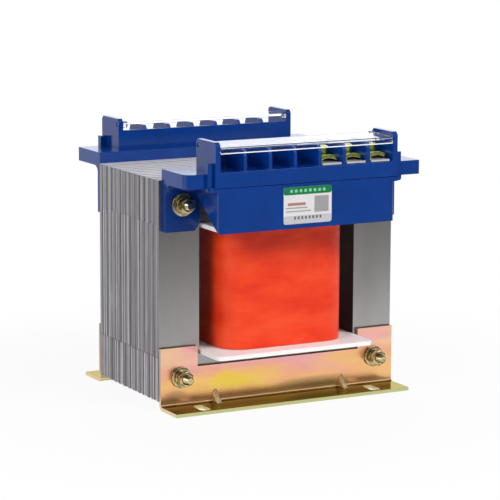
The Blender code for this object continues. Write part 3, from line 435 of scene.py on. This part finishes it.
def fastener_finish():
    """The same plating on turned parts: olive gold with greener and browner patches."""
    g = Finish("plated_fastener")
    spot = g.place()
    drift = g.noise(spot, 0.35, 3.0, 0.6, 0.4)
    film = g.ramp(drift, [(0.30, (0.24, 0.19, 0.09)), (0.45, (0.42, 0.35, 0.17)),
                          (0.58, (0.66, 0.58, 0.34)), (0.72, (0.42, 0.30, 0.18))])
    fleck = g.noise(spot, 4.0, 3.0)
    return g.finish(Base_Color=film, Metallic=1.0, Roughness=g.scaled(fleck, 0.12, 0.06),
                    Normal=g.bump(fleck, 0.01 * MM, 0.3))


def clamp_finish():
    """Green-gold plating on the terminals' clamps and screws."""
    g = Finish("plated_terminal")
    spot = g.place()
    drift = g.noise(spot, 0.5, 3.0)
    film = g.ramp(drift, [(0.32, (0.58, 0.66, 0.10)), (0.50, (0.82, 0.87, 0.24)),
                          (0.68, (0.92, 0.90, 0.46))])
    fleck = g.noise(spot, 5.0, 2.0)
    return g.finish(Base_Color=film, Metallic=1.0, Roughness=g.scaled(fleck, 0.16, 0.10),
                    Normal=g.bump(fleck, 0.02 * MM, 0.4))


def tin_finish():
    """Bright tinned brass with faint streaks."""
    g = Finish("tinned_brass")
    x, y, z = g.split(g.place())
    streak = g.noise(g.joined(g.times(x, 3.0), g.times(y, 0.4), z), 1.4, 3.0)
    colour = g.ramp(streak, [(0.3, (0.84, 0.80, 0.82)), (0.7, (0.97, 0.94, 0.95))])
    return g.finish(Base_Color=colour, Metallic=0.55, Roughness=g.scaled(streak, 0.18, 0.16),
                    Normal=g.bump(streak, 0.02 * MM, 0.4))


def tape_finish():
    """Orange-red polyester tape, drawn tight, with fine creases along the winding."""
    g = Finish("orange_tape")
    spot = g.place()
    x, y, z = g.split(spot)
    crease = g.noise(g.joined(g.times(x, 0.10), g.times(y, 0.10), z), 0.55, 4.0, 0.6)
    blotch = g.noise(g.joined(g.times(x, 0.5), g.times(y, 0.5), z), 0.09, 3.0)
    tone = g.plus(g.times(crease, 0.22), g.times(blotch, 0.78))
    colour = g.ramp(tone, [(0.34, (0.76, 0.032, 0.006)), (0.50, (0.85, 0.050, 0.010)),
                           (0.64, (0.89, 0.074, 0.018))])
    # Painted shade: the tape's top, under the skirt, is painted a darker red, unevenly in blotches.
    under = g.times(g.band(z, 84.0, 102.0), g.band(blotch, 0.30, 0.70, 0.75, 0.35))
    colour = g.mix(under, colour, (0.42, 0.016, 0.006))
    weave = g.noise(spot, 3.0, 2.0)
    height = g.plus(crease, g.times(weave, 0.12))
    return g.finish(Base_Color=colour, Roughness=g.scaled(crease, 0.16, 0.32), Specular_IOR_Level=0.3,
                    Normal=g.bump(height, 0.06 * MM, 0.4))


def former_finish():
    """Off-white nylon with faint flow marks."""
    g = Finish("white_nylon")
    spot = g.place()
    flow = g.noise(spot, 0.12, 4.0)
    grain = g.noise(spot, 2.5, 2.0)
    colour = g.ramp(flow, [(0.3, (0.94, 0.92, 0.91)), (0.7, (0.98, 0.97, 0.96))])
    return g.finish(Base_Color=colour, Roughness=g.scaled(flow, 0.16, 0.34),
                    Normal=g.bump(grain, 0.03 * MM, 0.4), Subsurface_Weight=0.12,
                    Subsurface_Scale=0.8 * MM)


def copper_finish():
    """Enamelled wire, laid in turns."""
    g = Finish("copper_wire")
    spot = g.place()
    turn = g.apart(g.math("FRACT", g.math("DIVIDE", g.split(spot)[2], 1.1)), 0.5)
    patch = g.noise(spot, 0.3, 2.0)
    colour = g.ramp(patch, [(0.3, (0.50, 0.17, 0.07)), (0.7, (0.68, 0.28, 0.12))])
    return g.finish(Base_Color=colour, Metallic=0.85, Roughness=g.scaled(patch, 0.15, 0.2),
                    Normal=g.bump(turn, 0.25 * MM, 0.7))


def paper_finish():
    """Brown insulation paper with its fibres."""
    g = Finish("kraft_paper")
    fibre = g.noise(g.place(), 1.5, 5.0, 0.65)
    colour = g.ramp(fibre, [(0.3, (0.52, 0.38, 0.21)), (0.7, (0.68, 0.53, 0.33))])
    return g.finish(Base_Color=colour, Roughness=g.scaled(fibre, 0.2, 0.65),
                    Normal=g.bump(fibre, 0.05 * MM, 0.5))


def clear_finish():
    """Clear moulded plastic, duller along its lip. Lamps light what lies under it."""
    g = Finish("clear_plastic")
    spot = g.place()
    lip = LIP_BOTTOM / MM
    rim = g.band(g.split(spot)[2], lip + 0.25, lip + 0.6, 0.15, 1.0)
    ripple = g.noise(spot, 0.18, 2.0)
    haze = g.noise(spot, 0.9, 3.0)
    g.finish(Base_Color=(0.965, 0.97, 0.985), Transmission_Weight=rim, IOR=1.49, Specular_IOR_Level=0.4,
             Roughness=g.scaled(haze, 0.05, 0.015), Normal=g.bump(ripple, 0.05 * MM, 0.3))
    path = g.add("LightPath")
    through = g.add("BsdfTransparent", {0: (0.93, 0.94, 0.96, 1.0)})
    g.blend(path.outputs["Is Shadow Ray"], through.outputs[0])
    return g.material


def print_finish(name, colour, low=0.92):
    """Printed film on the label, with a slight unevenness of the ink."""
    g = Finish(name)
    mottle = g.noise(g.place(), 1.1, 3.0)
    darker = tuple(channel * low for channel in colour)
    tone = g.ramp(mottle, [(0.35, darker), (0.65, colour)])
    return g.finish(Base_Color=tone, Roughness=g.scaled(mottle, 0.10, 0.28),
                    Normal=g.bump(mottle, 0.01 * MM, 0.3))


# Carried-over solids

def smoothing():
    """Modifier nodes that weld a solid's faces and shade its shallow edges as round."""
    group = bpy.data.node_groups.new("smooth_by_angle", "GeometryNodeTree")
    group.interface.new_socket("Geometry", in_out="INPUT", socket_type="NodeSocketGeometry")
    group.interface.new_socket("Geometry", in_out="OUTPUT", socket_type="NodeSocketGeometry")
    add = group.nodes.new
    link = group.links.new
    start = add("NodeGroupInput")
    end = add("NodeGroupOutput")
    weld = add("GeometryNodeMergeByDistance")
    weld.inputs["Distance"].default_value = WELD
    faces = add("GeometryNodeSetShadeSmooth")
    edges = add("GeometryNodeSetShadeSmooth")
    edges.domain = "EDGE"
    edges.inputs["Shade Smooth"].default_value = False
    angle = add("GeometryNodeInputMeshEdgeAngle")
    sharp = add("FunctionNodeCompare")
    sharp.operation = "GREATER_THAN"
    sharp.inputs[1].default_value = ROUND_ANGLE
    link(start.outputs[0], weld.inputs["Geometry"])
    link(weld.outputs[0], faces.inputs["Geometry"])
    link(faces.outputs[0], edges.inputs["Geometry"])
    link(angle.outputs["Unsigned Angle"], sharp.inputs[0])
    link(sharp.outputs[0], edges.inputs["Selection"])
    link(edges.outputs[0], end.inputs[0])
    return group


SMOOTHING = smoothing()


def dressed(node, finish, edge=0.0, merged=True):
    """Gives a carried-over solid its finish, smooth rounds and, where it has them, eased edges.

    Flat faces are merged before their edges are eased, save where a face with holes comes out torn.
    """
    solid = frame["nodes"][node]
    solid.data.materials.clear()
    solid.data.materials.append(finish)
    if edge:
        weld = solid.modifiers.new("weld", "WELD")
        weld.merge_threshold = WELD
        if merged:
            flat = solid.modifiers.new("flat", "DECIMATE")
            flat.decimate_type = "DISSOLVE"
            flat.angle_limit = FLAT_ANGLE
        ease = solid.modifiers.new("ease", "BEVEL")
        ease.width = edge
        ease.segments = 2
        ease.limit_method = "ANGLE"
        ease.angle_limit = EDGE_ANGLE
        ease.miter_outer = "MITER_ARC" if merged else "MITER_SHARP"
    smooth = solid.modifiers.new("smooth", "NODES")
    smooth.node_group = SMOOTHING
    flatter = solid.modifiers.new("flatter", "WEIGHTED_NORMAL")
    flatter.weight = 50
    flatter.keep_sharp = True


# New pieces

def placed(name, data):
    """An object in the scene that holds the data."""
    made = bpy.data.objects.new(name, data)
    bpy.context.scene.collection.objects.link(made)
    return made


def outward(form):
    """The form, with its faces turned outward."""
    bmesh.ops.recalc_face_normals(form, faces=form.faces)
    return form


def mesh_of(form, name):
    """The form as a mesh. The form is used up."""
    mesh = bpy.data.meshes.new(name)
    form.to_mesh(mesh)
    form.free()
    return mesh


def smooth_mesh(form, angle=EDGE_ANGLE):
    """The form as a mesh that looks round, save at edges steeper than the angle."""
    mesh = mesh_of(outward(form), "piece")
    mesh.shade_smooth()
    mesh.set_sharp_from_angle(angle=angle)
    return mesh


def piece(name, mesh, finish, slot, *nodes):
    """A new piece that rides on the body, in place of the solids named."""
    mesh.materials.append(finish)
    made = placed(name, mesh)
    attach(made, BODY)
    if nodes:
        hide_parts(*nodes)


def circle(radius, height, sides):
    """Points round the Z axis."""
    return [Vector((radius * math.cos(2 * math.pi * side / sides),
                    radius * math.sin(2 * math.pi * side / sides), height)) for side in range(sides)]


def loops(rings, closed_tube=False):
    """A mesh through rings of points. The ends are capped, or meet each other."""
    form = bmesh.new()
    rows = [[form.verts.new(point) for point in ring] for ring in rings]
    pairs = list(zip(rows, rows[1:]))
    if closed_tube:
        pairs.append((rows[-1], rows[0]))
    else:
        form.faces.new(rows[0])
        form.faces.new(rows[-1])
    for one, other in pairs:
        for corner in range(len(one)):
            after = (corner + 1) % len(one)
            form.faces.new((one[corner], one[after], other[after], other[corner]))
    return form


def turned(profile, sides=WASHER_SIDES):
    """A ring-shaped solid from a closed profile of (radius, height)."""
    return loops([circle(radius, height, sides) for radius, height in profile], closed_tube=True)


def eased(radius_in, radius_out, low, high, edge, steps=3):
    """A rectangular section with rounded outer corners, as (radius, height)."""
    points = [(radius_in, high), (radius_in, low)]
    for centre, start in (((radius_out - edge, low + edge), -90), ((radius_out - edge, high - edge), 0)):
        for step in range(steps + 1):
            angle = math.radians(start + 90 * step / steps)
            points.append((centre[0] + edge * math.cos(angle), centre[1] + edge * math.sin(angle)))
    return points


def hex_reach(angle, across):
    """How far a hexagon's outline is from its centre, at an angle."""
    sixth = math.pi / 3
    return across / 2 / math.cos((angle + sixth / 2) % sixth - sixth / 2)


def hex_body(across, low, high, bore=0.0):
    """A hexagon whose corners are cut by a cone, as on a real nut or bolt head."""
    flat = across / 2 * HEX_FLAT
    angles = [2 * math.pi * side / HEX_SIDES for side in range(HEX_SIDES)]

    def edge(start, direction):
        ring = []
        for angle in angles:
            reach = hex_reach(angle, across)
            drop = (reach - flat) * math.tan(HEX_CONE)
            ring.append(Vector((reach * math.cos(angle), reach * math.sin(angle), start + direction * drop)))
        return ring

    rings = [circle(flat, low, HEX_SIDES), edge(low, 1), edge(high, -1), circle(flat, high, HEX_SIDES)]
    if not bore:
        return loops(rings)
    lead_in = bore + THREAD_DEPTH
    for radius, height in ((lead_in, high), (bore, high - THREAD_DEPTH), (bore, low + THREAD_DEPTH),
                           (lead_in, low)):
        rings.append(circle(radius, height, HEX_SIDES))
    return loops(rings, closed_tube=True)


def threaded(radius, depth, pitch, start, end, chamfer=0.0):
    """A rod along +Z with a helical thread, from start to end, and a chamfer at its far end."""
    rows = int((end - start) / pitch * THREAD_STEPS)
    rings = []
    for row in range(rows + 1):
        height = start + (end - start) * row / rows
        limit = radius - max(0.0, height - (end - chamfer))
        ring = []
        for side in range(THREAD_SIDES):
            angle = 2 * math.pi * side / THREAD_SIDES
            phase = (height / pitch - side / THREAD_SIDES) % 1.0
            groove = depth * abs(2 * phase - 1)
            reach = min(radius - groove, limit)
            ring.append(Vector((reach * math.cos(angle), reach * math.sin(angle), height)))
        rings.append(ring)
    return loops(rings)


def put(forms, turn=Matrix()):
    """Joins forms into one, and turns it to its place in the row frame."""
    whole = bmesh.new()
    for form in forms:
        mesh = mesh_of(outward(form), "part")
        mesh.transform(turn)
        whole.from_mesh(mesh)
        bpy.data.meshes.remove(mesh)
    return whole


def split_ring(thickness):
    """A spring washer: a square section turned almost all the way round."""
    section = eased(WASHER_HOLE, SPRING_RADIUS, 0.0, thickness, WASHER_EDGE, 2)
    rings = []
    for step in range(WASHER_SIDES + 1):
        angle = math.radians(SPRING_GAP + (360 - 2 * SPRING_GAP) * step / WASHER_SIDES)
        rings.append([Vector((radius * math.cos(angle), radius * math.sin(angle), height))
                      for radius, height in section])
    return loops(rings)


def fasteners(finish):
    """Bolts with a cut thread, chamfered nuts, split spring washers and flat washers."""
    for spot in ("lower_left", "lower_right", "upper_left", "upper_right"):
        low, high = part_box(f"bolt_{spot}")
        x, z = (low.x + high.x) / 2, (low.z + high.z) / 2

        def add(name, forms, y, node):
            """Lays forms along -Y from a place on the bolt's axis."""
            turn = Matrix.Translation((x, y, z)) @ Matrix.Rotation(math.pi / 2, 4, "X")
            piece(name, smooth_mesh(put(forms, turn)), finish, "yellow_zinc", node)

        nut_low, nut_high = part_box(f"nut_{spot}")
        head = high.y - BOLT_HEAD
        nut_at = head - nut_high.y
        shank = turned([(SHANK_CORE, -SHANK_START), (BOLT_RADIUS, -SHANK_START), (BOLT_RADIUS, nut_at),
                        (SHANK_CORE, nut_at)], SHANK_SIDES)
        thread = threaded(BOLT_RADIUS, THREAD_DEPTH, THREAD_PITCH, nut_at - OVERLAP, head - low.y,
                          BOLT_CHAMFER)
        hexagon = hex_body(NUT_ACROSS, -BOLT_HEAD, 0.0)
        add(f"threaded_bolt_{spot}", [hexagon, shank, thread], head, f"bolt_{spot}")
        nut = hex_body(NUT_ACROSS, 0.0, nut_high.y - nut_low.y, NUT_BORE)
        add(f"cut_nut_{spot}", [nut], nut_high.y, f"nut_{spot}")
        for kind in ("front", "rear"):
            low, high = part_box(f"{kind}_washer_{spot}")
            profile = eased(WASHER_HOLE, (high.x - low.x) / 2, 0.0, high.y - low.y, WASHER_EDGE)
            add(f"{kind}_flat_washer_{spot}", [turned(profile)], high.y, f"{kind}_washer_{spot}")
        low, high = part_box(f"spring_washer_{spot}")
        add(f"split_washer_{spot}", [split_ring(high.y - low.y)], high.y, f"spring_washer_{spot}")


def terminal_screws(finish):
    """Pan-head screws with a cross recess, a captive washer and a fine thread."""
    for side in ("front", "rear"):
        for number in (1, 2, 3):
            node = f"{side}_terminal_screw_{number}"
            low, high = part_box(node)
            centre = (low + high) / 2
            top = high.z
            under = top - HEAD_HEIGHT
            seat = under - CAPTIVE_THICKNESS - SCREW_NECK
            rim = seat + CAPTIVE_THICKNESS
            profile = [(CAPTIVE_RADIUS - SCREW_EDGE, seat), (CAPTIVE_RADIUS, seat + SCREW_EDGE),
                       (CAPTIVE_RADIUS, rim - SCREW_EDGE), (CAPTIVE_RADIUS - SCREW_EDGE, rim),
                       (HEAD_RADIUS - CAPTIVE_SHADOW, rim), (HEAD_RADIUS - SCREW_EDGE, under),
                       (HEAD_RADIUS, under + SCREW_EDGE), (HEAD_RADIUS, under + HEAD_SIDE)]
            rise = HEAD_HEIGHT - HEAD_SIDE
            for step in range(1, CROWN_STEPS):
                angle = math.radians(90 * step / CROWN_STEPS)
                profile.append((HEAD_RADIUS - CROWN_ROUND * (1 - math.cos(angle)),
                                top - rise + rise * math.sin(angle)))
            profile.append((HEAD_RADIUS - CROWN_FLAT, top))
            head = loops([circle(radius, height, SCREW_SIDES) for radius, height in profile])
            head = recessed(mesh_of(outward(head), "head"), top)
            rod = threaded(SCREW_RADIUS, SCREW_THREAD_DEPTH, SCREW_PITCH, 0.0, seat - low.z + OVERLAP)
            bmesh.ops.translate(rod, verts=rod.verts, vec=(0, 0, low.z))
            whole = put([head, rod], Matrix.Translation((centre.x, centre.y, 0)))
            piece(f"{side}_pan_screw_{number}", smooth_mesh(whole), finish, "yellow_zinc", node)


def recessed(mesh, top):
    """A screw head with a cross cut into its crown."""
    body = placed("head", mesh)
    cross = bmesh.new()
    for across, deep in ((RECESS_SPAN, RECESS_WIDTH), (RECESS_WIDTH, RECESS_SPAN)):
        made = bmesh.ops.create_cube(cross, size=2.0)
        for vert in made["verts"]:
            taper = RECESS_TAPER if vert.co.z < 0 else 1.0
            vert.co = Vector((vert.co.x * across * taper, vert.co.y * deep * taper,
                              top + vert.co.z * RECESS_DEPTH))
    cutter = placed("cross", mesh_of(cross, "cross"))
    step = body.modifiers.new("cut", "BOOLEAN")
    step.object = cutter
    step.solver = "EXACT"
    step.use_self = True
    graph = bpy.context.evaluated_depsgraph_get()
    result = bpy.data.meshes.new_from_object(body.evaluated_get(graph))
    for used in (body, cutter):
        bpy.data.objects.remove(used, do_unlink=True)
    form = bmesh.new()
    form.from_mesh(result)
    return form


def rounded_outline(low, high, radius):
    """Points round a rectangle in x and y with round corners, evenly along each stretch."""
    points = []
    corners = ((high.x - radius, high.y - radius, 0), (low.x + radius, high.y - radius, 90),
               (low.x + radius, low.y + radius, 180), (high.x - radius, low.y + radius, 270))

    def on_corner(x, y, start, turn):
        angle = math.radians(start + turn)
        return Vector((x + radius * math.cos(angle), y + radius * math.sin(angle), 0))

    for index, corner in enumerate(corners):
        points += [on_corner(*corner, 90 * step / TAPE_CORNER_STEPS) for step in range(TAPE_CORNER_STEPS + 1)]
        last = points[-1]
        goal = on_corner(*corners[(index + 1) % 4], 0)
        points += [last.lerp(goal, step / TAPE_SIDE_STEPS) for step in range(1, TAPE_SIDE_STEPS)]
    return points


def tape(finish):
    """The wound tape: slightly bowed faces, rounded corners and shallow creases."""
    low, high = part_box("coil_wrap")
    outer = rounded_outline(low, high, TAPE_CORNER)

    def past_corner(value, half):
        """How far a value goes beyond the straight stretch, with its sign."""
        return math.copysign(max(abs(value) - (half - TAPE_CORNER), 0), value)

    rings = []
    for row in range(TAPE_ROWS + 1):
        share = row / TAPE_ROWS
        z = low.z + (high.z - low.z) * share
        bow = TAPE_BOW * math.sin(math.pi * share)
        ring = []
        for point in outer:
            away = Vector((past_corner(point.x, high.x), past_corner(point.y, high.y), 0)).normalized()
            spot = Vector((point.x, point.y, z))
            crease = noise.noise(spot * CREASE_GRAIN)
            ripple = noise.noise(spot * RIPPLE_GRAIN + RIPPLE_SHIFT)
            mid_x = 1 - (point.x / high.x) ** 2
            mid_y = 1 - (point.y / high.y) ** 2
            belly = bow * (mid_x if abs(away.y) > abs(away.x) else mid_y)
            shift = belly + TAPE_CREASE * crease + TAPE_RIPPLE * ripple - TAPE_SINK
            ring.append(point + away * shift + Vector((0, 0, z)))
        rings.append(ring)
    for z in (high.z, low.z):
        rings.append([point - Vector((point.x / high.x, point.y / high.y, 0)) * TAPE_THICKNESS
                      + Vector((0, 0, z)) for point in outer])
    mesh = smooth_mesh(loops(rings, closed_tube=True), TAPE_ANGLE)
    piece("wound_coil_wrap", mesh, finish, "wound_tape", "coil_wrap")


def outline(left, right, bottom, top, corner):
    """Points round a rectangle in x and z, with round corners where it has them."""
    if not corner:
        return [(right, top), (left, top), (left, bottom), (right, bottom)]
    points = []
    for x, z, start in ((right - corner, top - corner, 0), (left + corner, top - corner, 90),
                        (left + corner, bottom + corner, 180), (right - corner, bottom + corner, 270)):
        for step in range(LABEL_CORNER_STEPS + 1):
            angle = math.radians(start + 90 * step / LABEL_CORNER_STEPS)
            points.append((x + corner * math.cos(angle), z + corner * math.sin(angle)))
    return points


def film(name, finish, areas, front, corner=0.0):
    """Thin rectangles of film or ink that lie on a plane facing the front."""
    slabs = []
    for area in areas:
        points = outline(*area, corner)
        slabs.append(loops([[Vector((x, y, z)) for x, z in points]
                            for y in (front, front - LABEL_THICKNESS)]))
    piece(name, smooth_mesh(put(slabs)), finish, "former_nylon")


def field(left, top, width, height):
    """A rectangle on the label, in millimetres from its left and top edges."""
    start = LABEL_LEFT + left * MM
    end = LABEL_TOP - top * MM
    return start, start + width * MM, end - height * MM, end


def label():
    """A generic rating label: a green header, a white field with plain bars and blocks, a grey footer."""
    width, height = (LABEL_RIGHT - LABEL_LEFT) / MM, (LABEL_TOP - LABEL_BOTTOM) / MM
    header, footer = LABEL_HEADER / MM, LABEL_FOOTER / MM
    white = print_finish("label_white", (0.74, 0.72, 0.73), 0.93)
    green = print_finish("label_green", (0.004, 0.205, 0.055), 0.80)
    grey = print_finish("label_grey", (0.54, 0.54, 0.57), 0.94)
    mint = print_finish("label_mint", (0.24, 0.62, 0.40))
    dark = print_finish("label_dark", (0.12, 0.12, 0.14), 0.70)
    brown = print_finish("label_brown", (0.42, 0.20, 0.15))
    sage = print_finish("label_sage", (0.34, 0.36, 0.33))
    square = print_finish("label_square", (0.36, 0.34, 0.35), 0.88)

    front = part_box("front_terminal_frame")[0].y - LABEL_SINK
    film("label", white, [field(0, 0, width, height)], front, LABEL_CORNER)

    front -= LABEL_LAYER
    inset = LABEL_SINK / MM
    inner = width - 2 * inset
    film("label_header", green, [field(inset, inset, inner, header)], front, LABEL_CORNER)
    film("label_footer", grey, [field(inset, height - footer, inner, footer - inset)], front, LABEL_CORNER)

    front -= LABEL_LAYER
    upper = [field(4.1 + 2.95 * count, 1.4, 1.6, 1.6) for count in range(LABEL_BLOCKS)]
    lower = [field(6.6 + 2.3 * count, 16.4, 1.1, 1.7) for count in range(LABEL_BLOCKS)]
    film("label_header_blocks", mint, upper, front)
    film("label_footer_blocks", dark, lower, front)
    film("label_title_bar", brown, [field(2.6, 8.8, 11.2, 1.5)], front)
    film("label_text_bars", sage, [field(1.4, 11.3, 13.6, 0.7), field(1.4, 13.2, 15.8, 0.7)], front)
    film("label_plain_square", square, [field(19.4, 5.6, 9.0, 9.0)], front)


# Studio

def camera():
    data = bpy.data.cameras.new("camera")
    data.sensor_width = CAMERA_SENSOR
    data.lens = CAMERA_LENS
    data.clip_start, data.clip_end = CAMERA_RANGE
    view = placed("camera", data)
    yaw, pitch, roll = CAMERA_YAW, CAMERA_PITCH, CAMERA_ROLL
    ahead = Vector((math.sin(yaw) * math.cos(pitch), math.cos(yaw) * math.cos(pitch), -math.sin(pitch)))
    right = Vector((math.cos(yaw), -math.sin(yaw), 0))
    down = ahead.cross(right)
    level = right * math.cos(roll) + down * math.sin(roll)
    plumb = down * math.cos(roll) - right * math.sin(roll)
    turn = Matrix((level, -plumb, -ahead)).transposed()
    view.matrix_world = Matrix.Translation(CAMERA_PLACE) @ turn.to_4x4()
    bpy.context.scene.camera = view


def softbox(name, place, target, size, power):
    data = bpy.data.lights.new(name, "AREA")
    data.shape = "RECTANGLE"
    data.size, data.size_y = size
    data.energy = power
    lamp = placed(name, data)
    lamp.location = place
    lamp.rotation_mode = "QUATERNION"
    lamp.rotation_quaternion = (Vector(target) - Vector(place)).to_track_quat("-Z", "Y")
    lamp.visible_camera = False
    lamp.visible_glossy = False
    lamp.visible_transmission = False


def world():
    """White for the camera and through clear parts.

    Gloss sees a low bright backdrop, a dim ceiling and a broad window towards each front lamp.
    """
    sky = bpy.data.worlds.new("studio")
    sky.use_nodes = True
    bpy.context.scene.world = sky
    g = Graph(sky.node_tree)
    path = g.add("LightPath").outputs
    glossy = path["Is Glossy Ray"]
    around = g.add("TexCoord").outputs["Generated"]
    direction = g.split(around)
    backdrop = g.band(direction[1], -0.25, 0.45, 0.26, 1.52, "LINEAR")
    low = g.band(direction[2], 0.35, 0.80, 1.0, 0.0, "LINEAR")
    shine = g.band(low, 0.0, 1.0, 0.18, backdrop, "LINEAR")
    for name in ("key", "fill"):
        aim = Vector(LAMPS[name][0]).normalized()
        toward = g.add("VectorMath", {0: around, 1: aim}, operation="DOT_PRODUCT").outputs["Value"]
        shine = g.plus(shine, g.band(toward, 0.92, 0.975, 0.0, WINDOW_LIGHT, "LINEAR"))
    seen = g.math("MAXIMUM", path["Is Camera Ray"], path["Is Transmission Ray"])
    dull = g.times(g.minus(1.0, glossy), DULL_LIGHT)
    light = g.plus(g.times(glossy, shine), dull)
    background = g.tree.nodes["Background"]
    g.feed(background.inputs["Strength"], g.math("MAXIMUM", light, seen))
    g.feed(background.inputs["Color"], g.mix(glossy, (1.0, 1.0, 1.0), (0.95, 0.975, 1.08)))


def floor():
    """A pale floor that the camera sees as white, apart from a faint contact shadow."""
    g = Finish("pale_floor")
    spot = g.place(1.0)
    mottle = g.noise(spot, 9.0, 3.0)
    tone = g.ramp(mottle, [(0.3, (0.80, 0.80, 0.80)), (0.7, (0.84, 0.84, 0.84))])
    g.finish(Base_Color=tone, Roughness=0.6)
    path = g.add("LightPath").outputs
    glossy = path["Is Glossy Ray"]
    distance = g.add("VectorMath", {0: spot}, operation="LENGTH").outputs["Value"]
    ahead = g.times(g.split(spot)[1], -1.0)
    # Painted light: in reflections the floor glows, fully near the object, fading far ahead of it and a
    # little behind it.
    pool = g.times(g.band(ahead, 0.10, 0.62, 1.0, 0.08), g.band(ahead, -0.35, -0.06, 0.85, 1.0))
    strength = g.plus(g.times(glossy, pool), g.minus(1.0, glossy))
    glow = g.add("Emission", {"Color": (1, 1, 1, 1), "Strength": strength})
    seen = g.math("MAXIMUM", path["Is Camera Ray"], path["Is Transmission Ray"])
    clean = g.times(seen, g.band(distance, 0.12, 0.30, 0.92, 1.0))
    g.blend(g.math("ADD", clean, g.times(glossy, 0.9), clamp=True), glow.outputs[0])
    form = bmesh.new()
    bmesh.ops.create_circle(form, cap_ends=True, segments=FLOOR_SIDES, radius=FLOOR_RADIUS)
    mesh = mesh_of(form, "floor")
    mesh.materials.append(g.material)
    plane = placed("floor", mesh)
    plane.location = (0, 0, -FLOOR_DROP)


# Assembly

steel = core_finish()
blue = blue_finish()
zinc = zinc_finish()
plated = fastener_finish()
gilt = clamp_finish()
tinned = tin_finish()
orange = tape_finish()
nylon = former_finish()
copper = copper_finish()
kraft = paper_finish()
clear = clear_finish()

dressed("core_laminations", steel)
dressed("coil_former", nylon, FORMER_EDGE)
dressed("primary_winding", copper)
dressed("secondary_winding", copper)
dressed("winding_insulation", kraft)
for end in ("front", "rear"):
    dressed(f"{end}_foot", zinc, FOOT_EDGE)
    dressed(f"{end}_terminal_frame", blue, FRAME_EDGE)
    dressed(f"{end}_terminal_strip", blue, STRIP_EDGE, merged=False)
    dressed(f"{end}_cover", clear, COVER_EDGE)
    for count in (1, 2, 3):
        dressed(f"{end}_terminal_plate_{count}", tinned, PLATE_EDGE)
        dressed(f"{end}_terminal_clamp_{count}", gilt, CLAMP_EDGE)
        dressed(f"{end}_lead_{count}", copper)
fasteners(plated)
terminal_screws(gilt)
tape(orange)
label()

camera()
world()
floor()
for name, lamp in LAMPS.items():
    softbox(name, *lamp)
bpy.context.scene.view_settings.view_transform = "Standard"
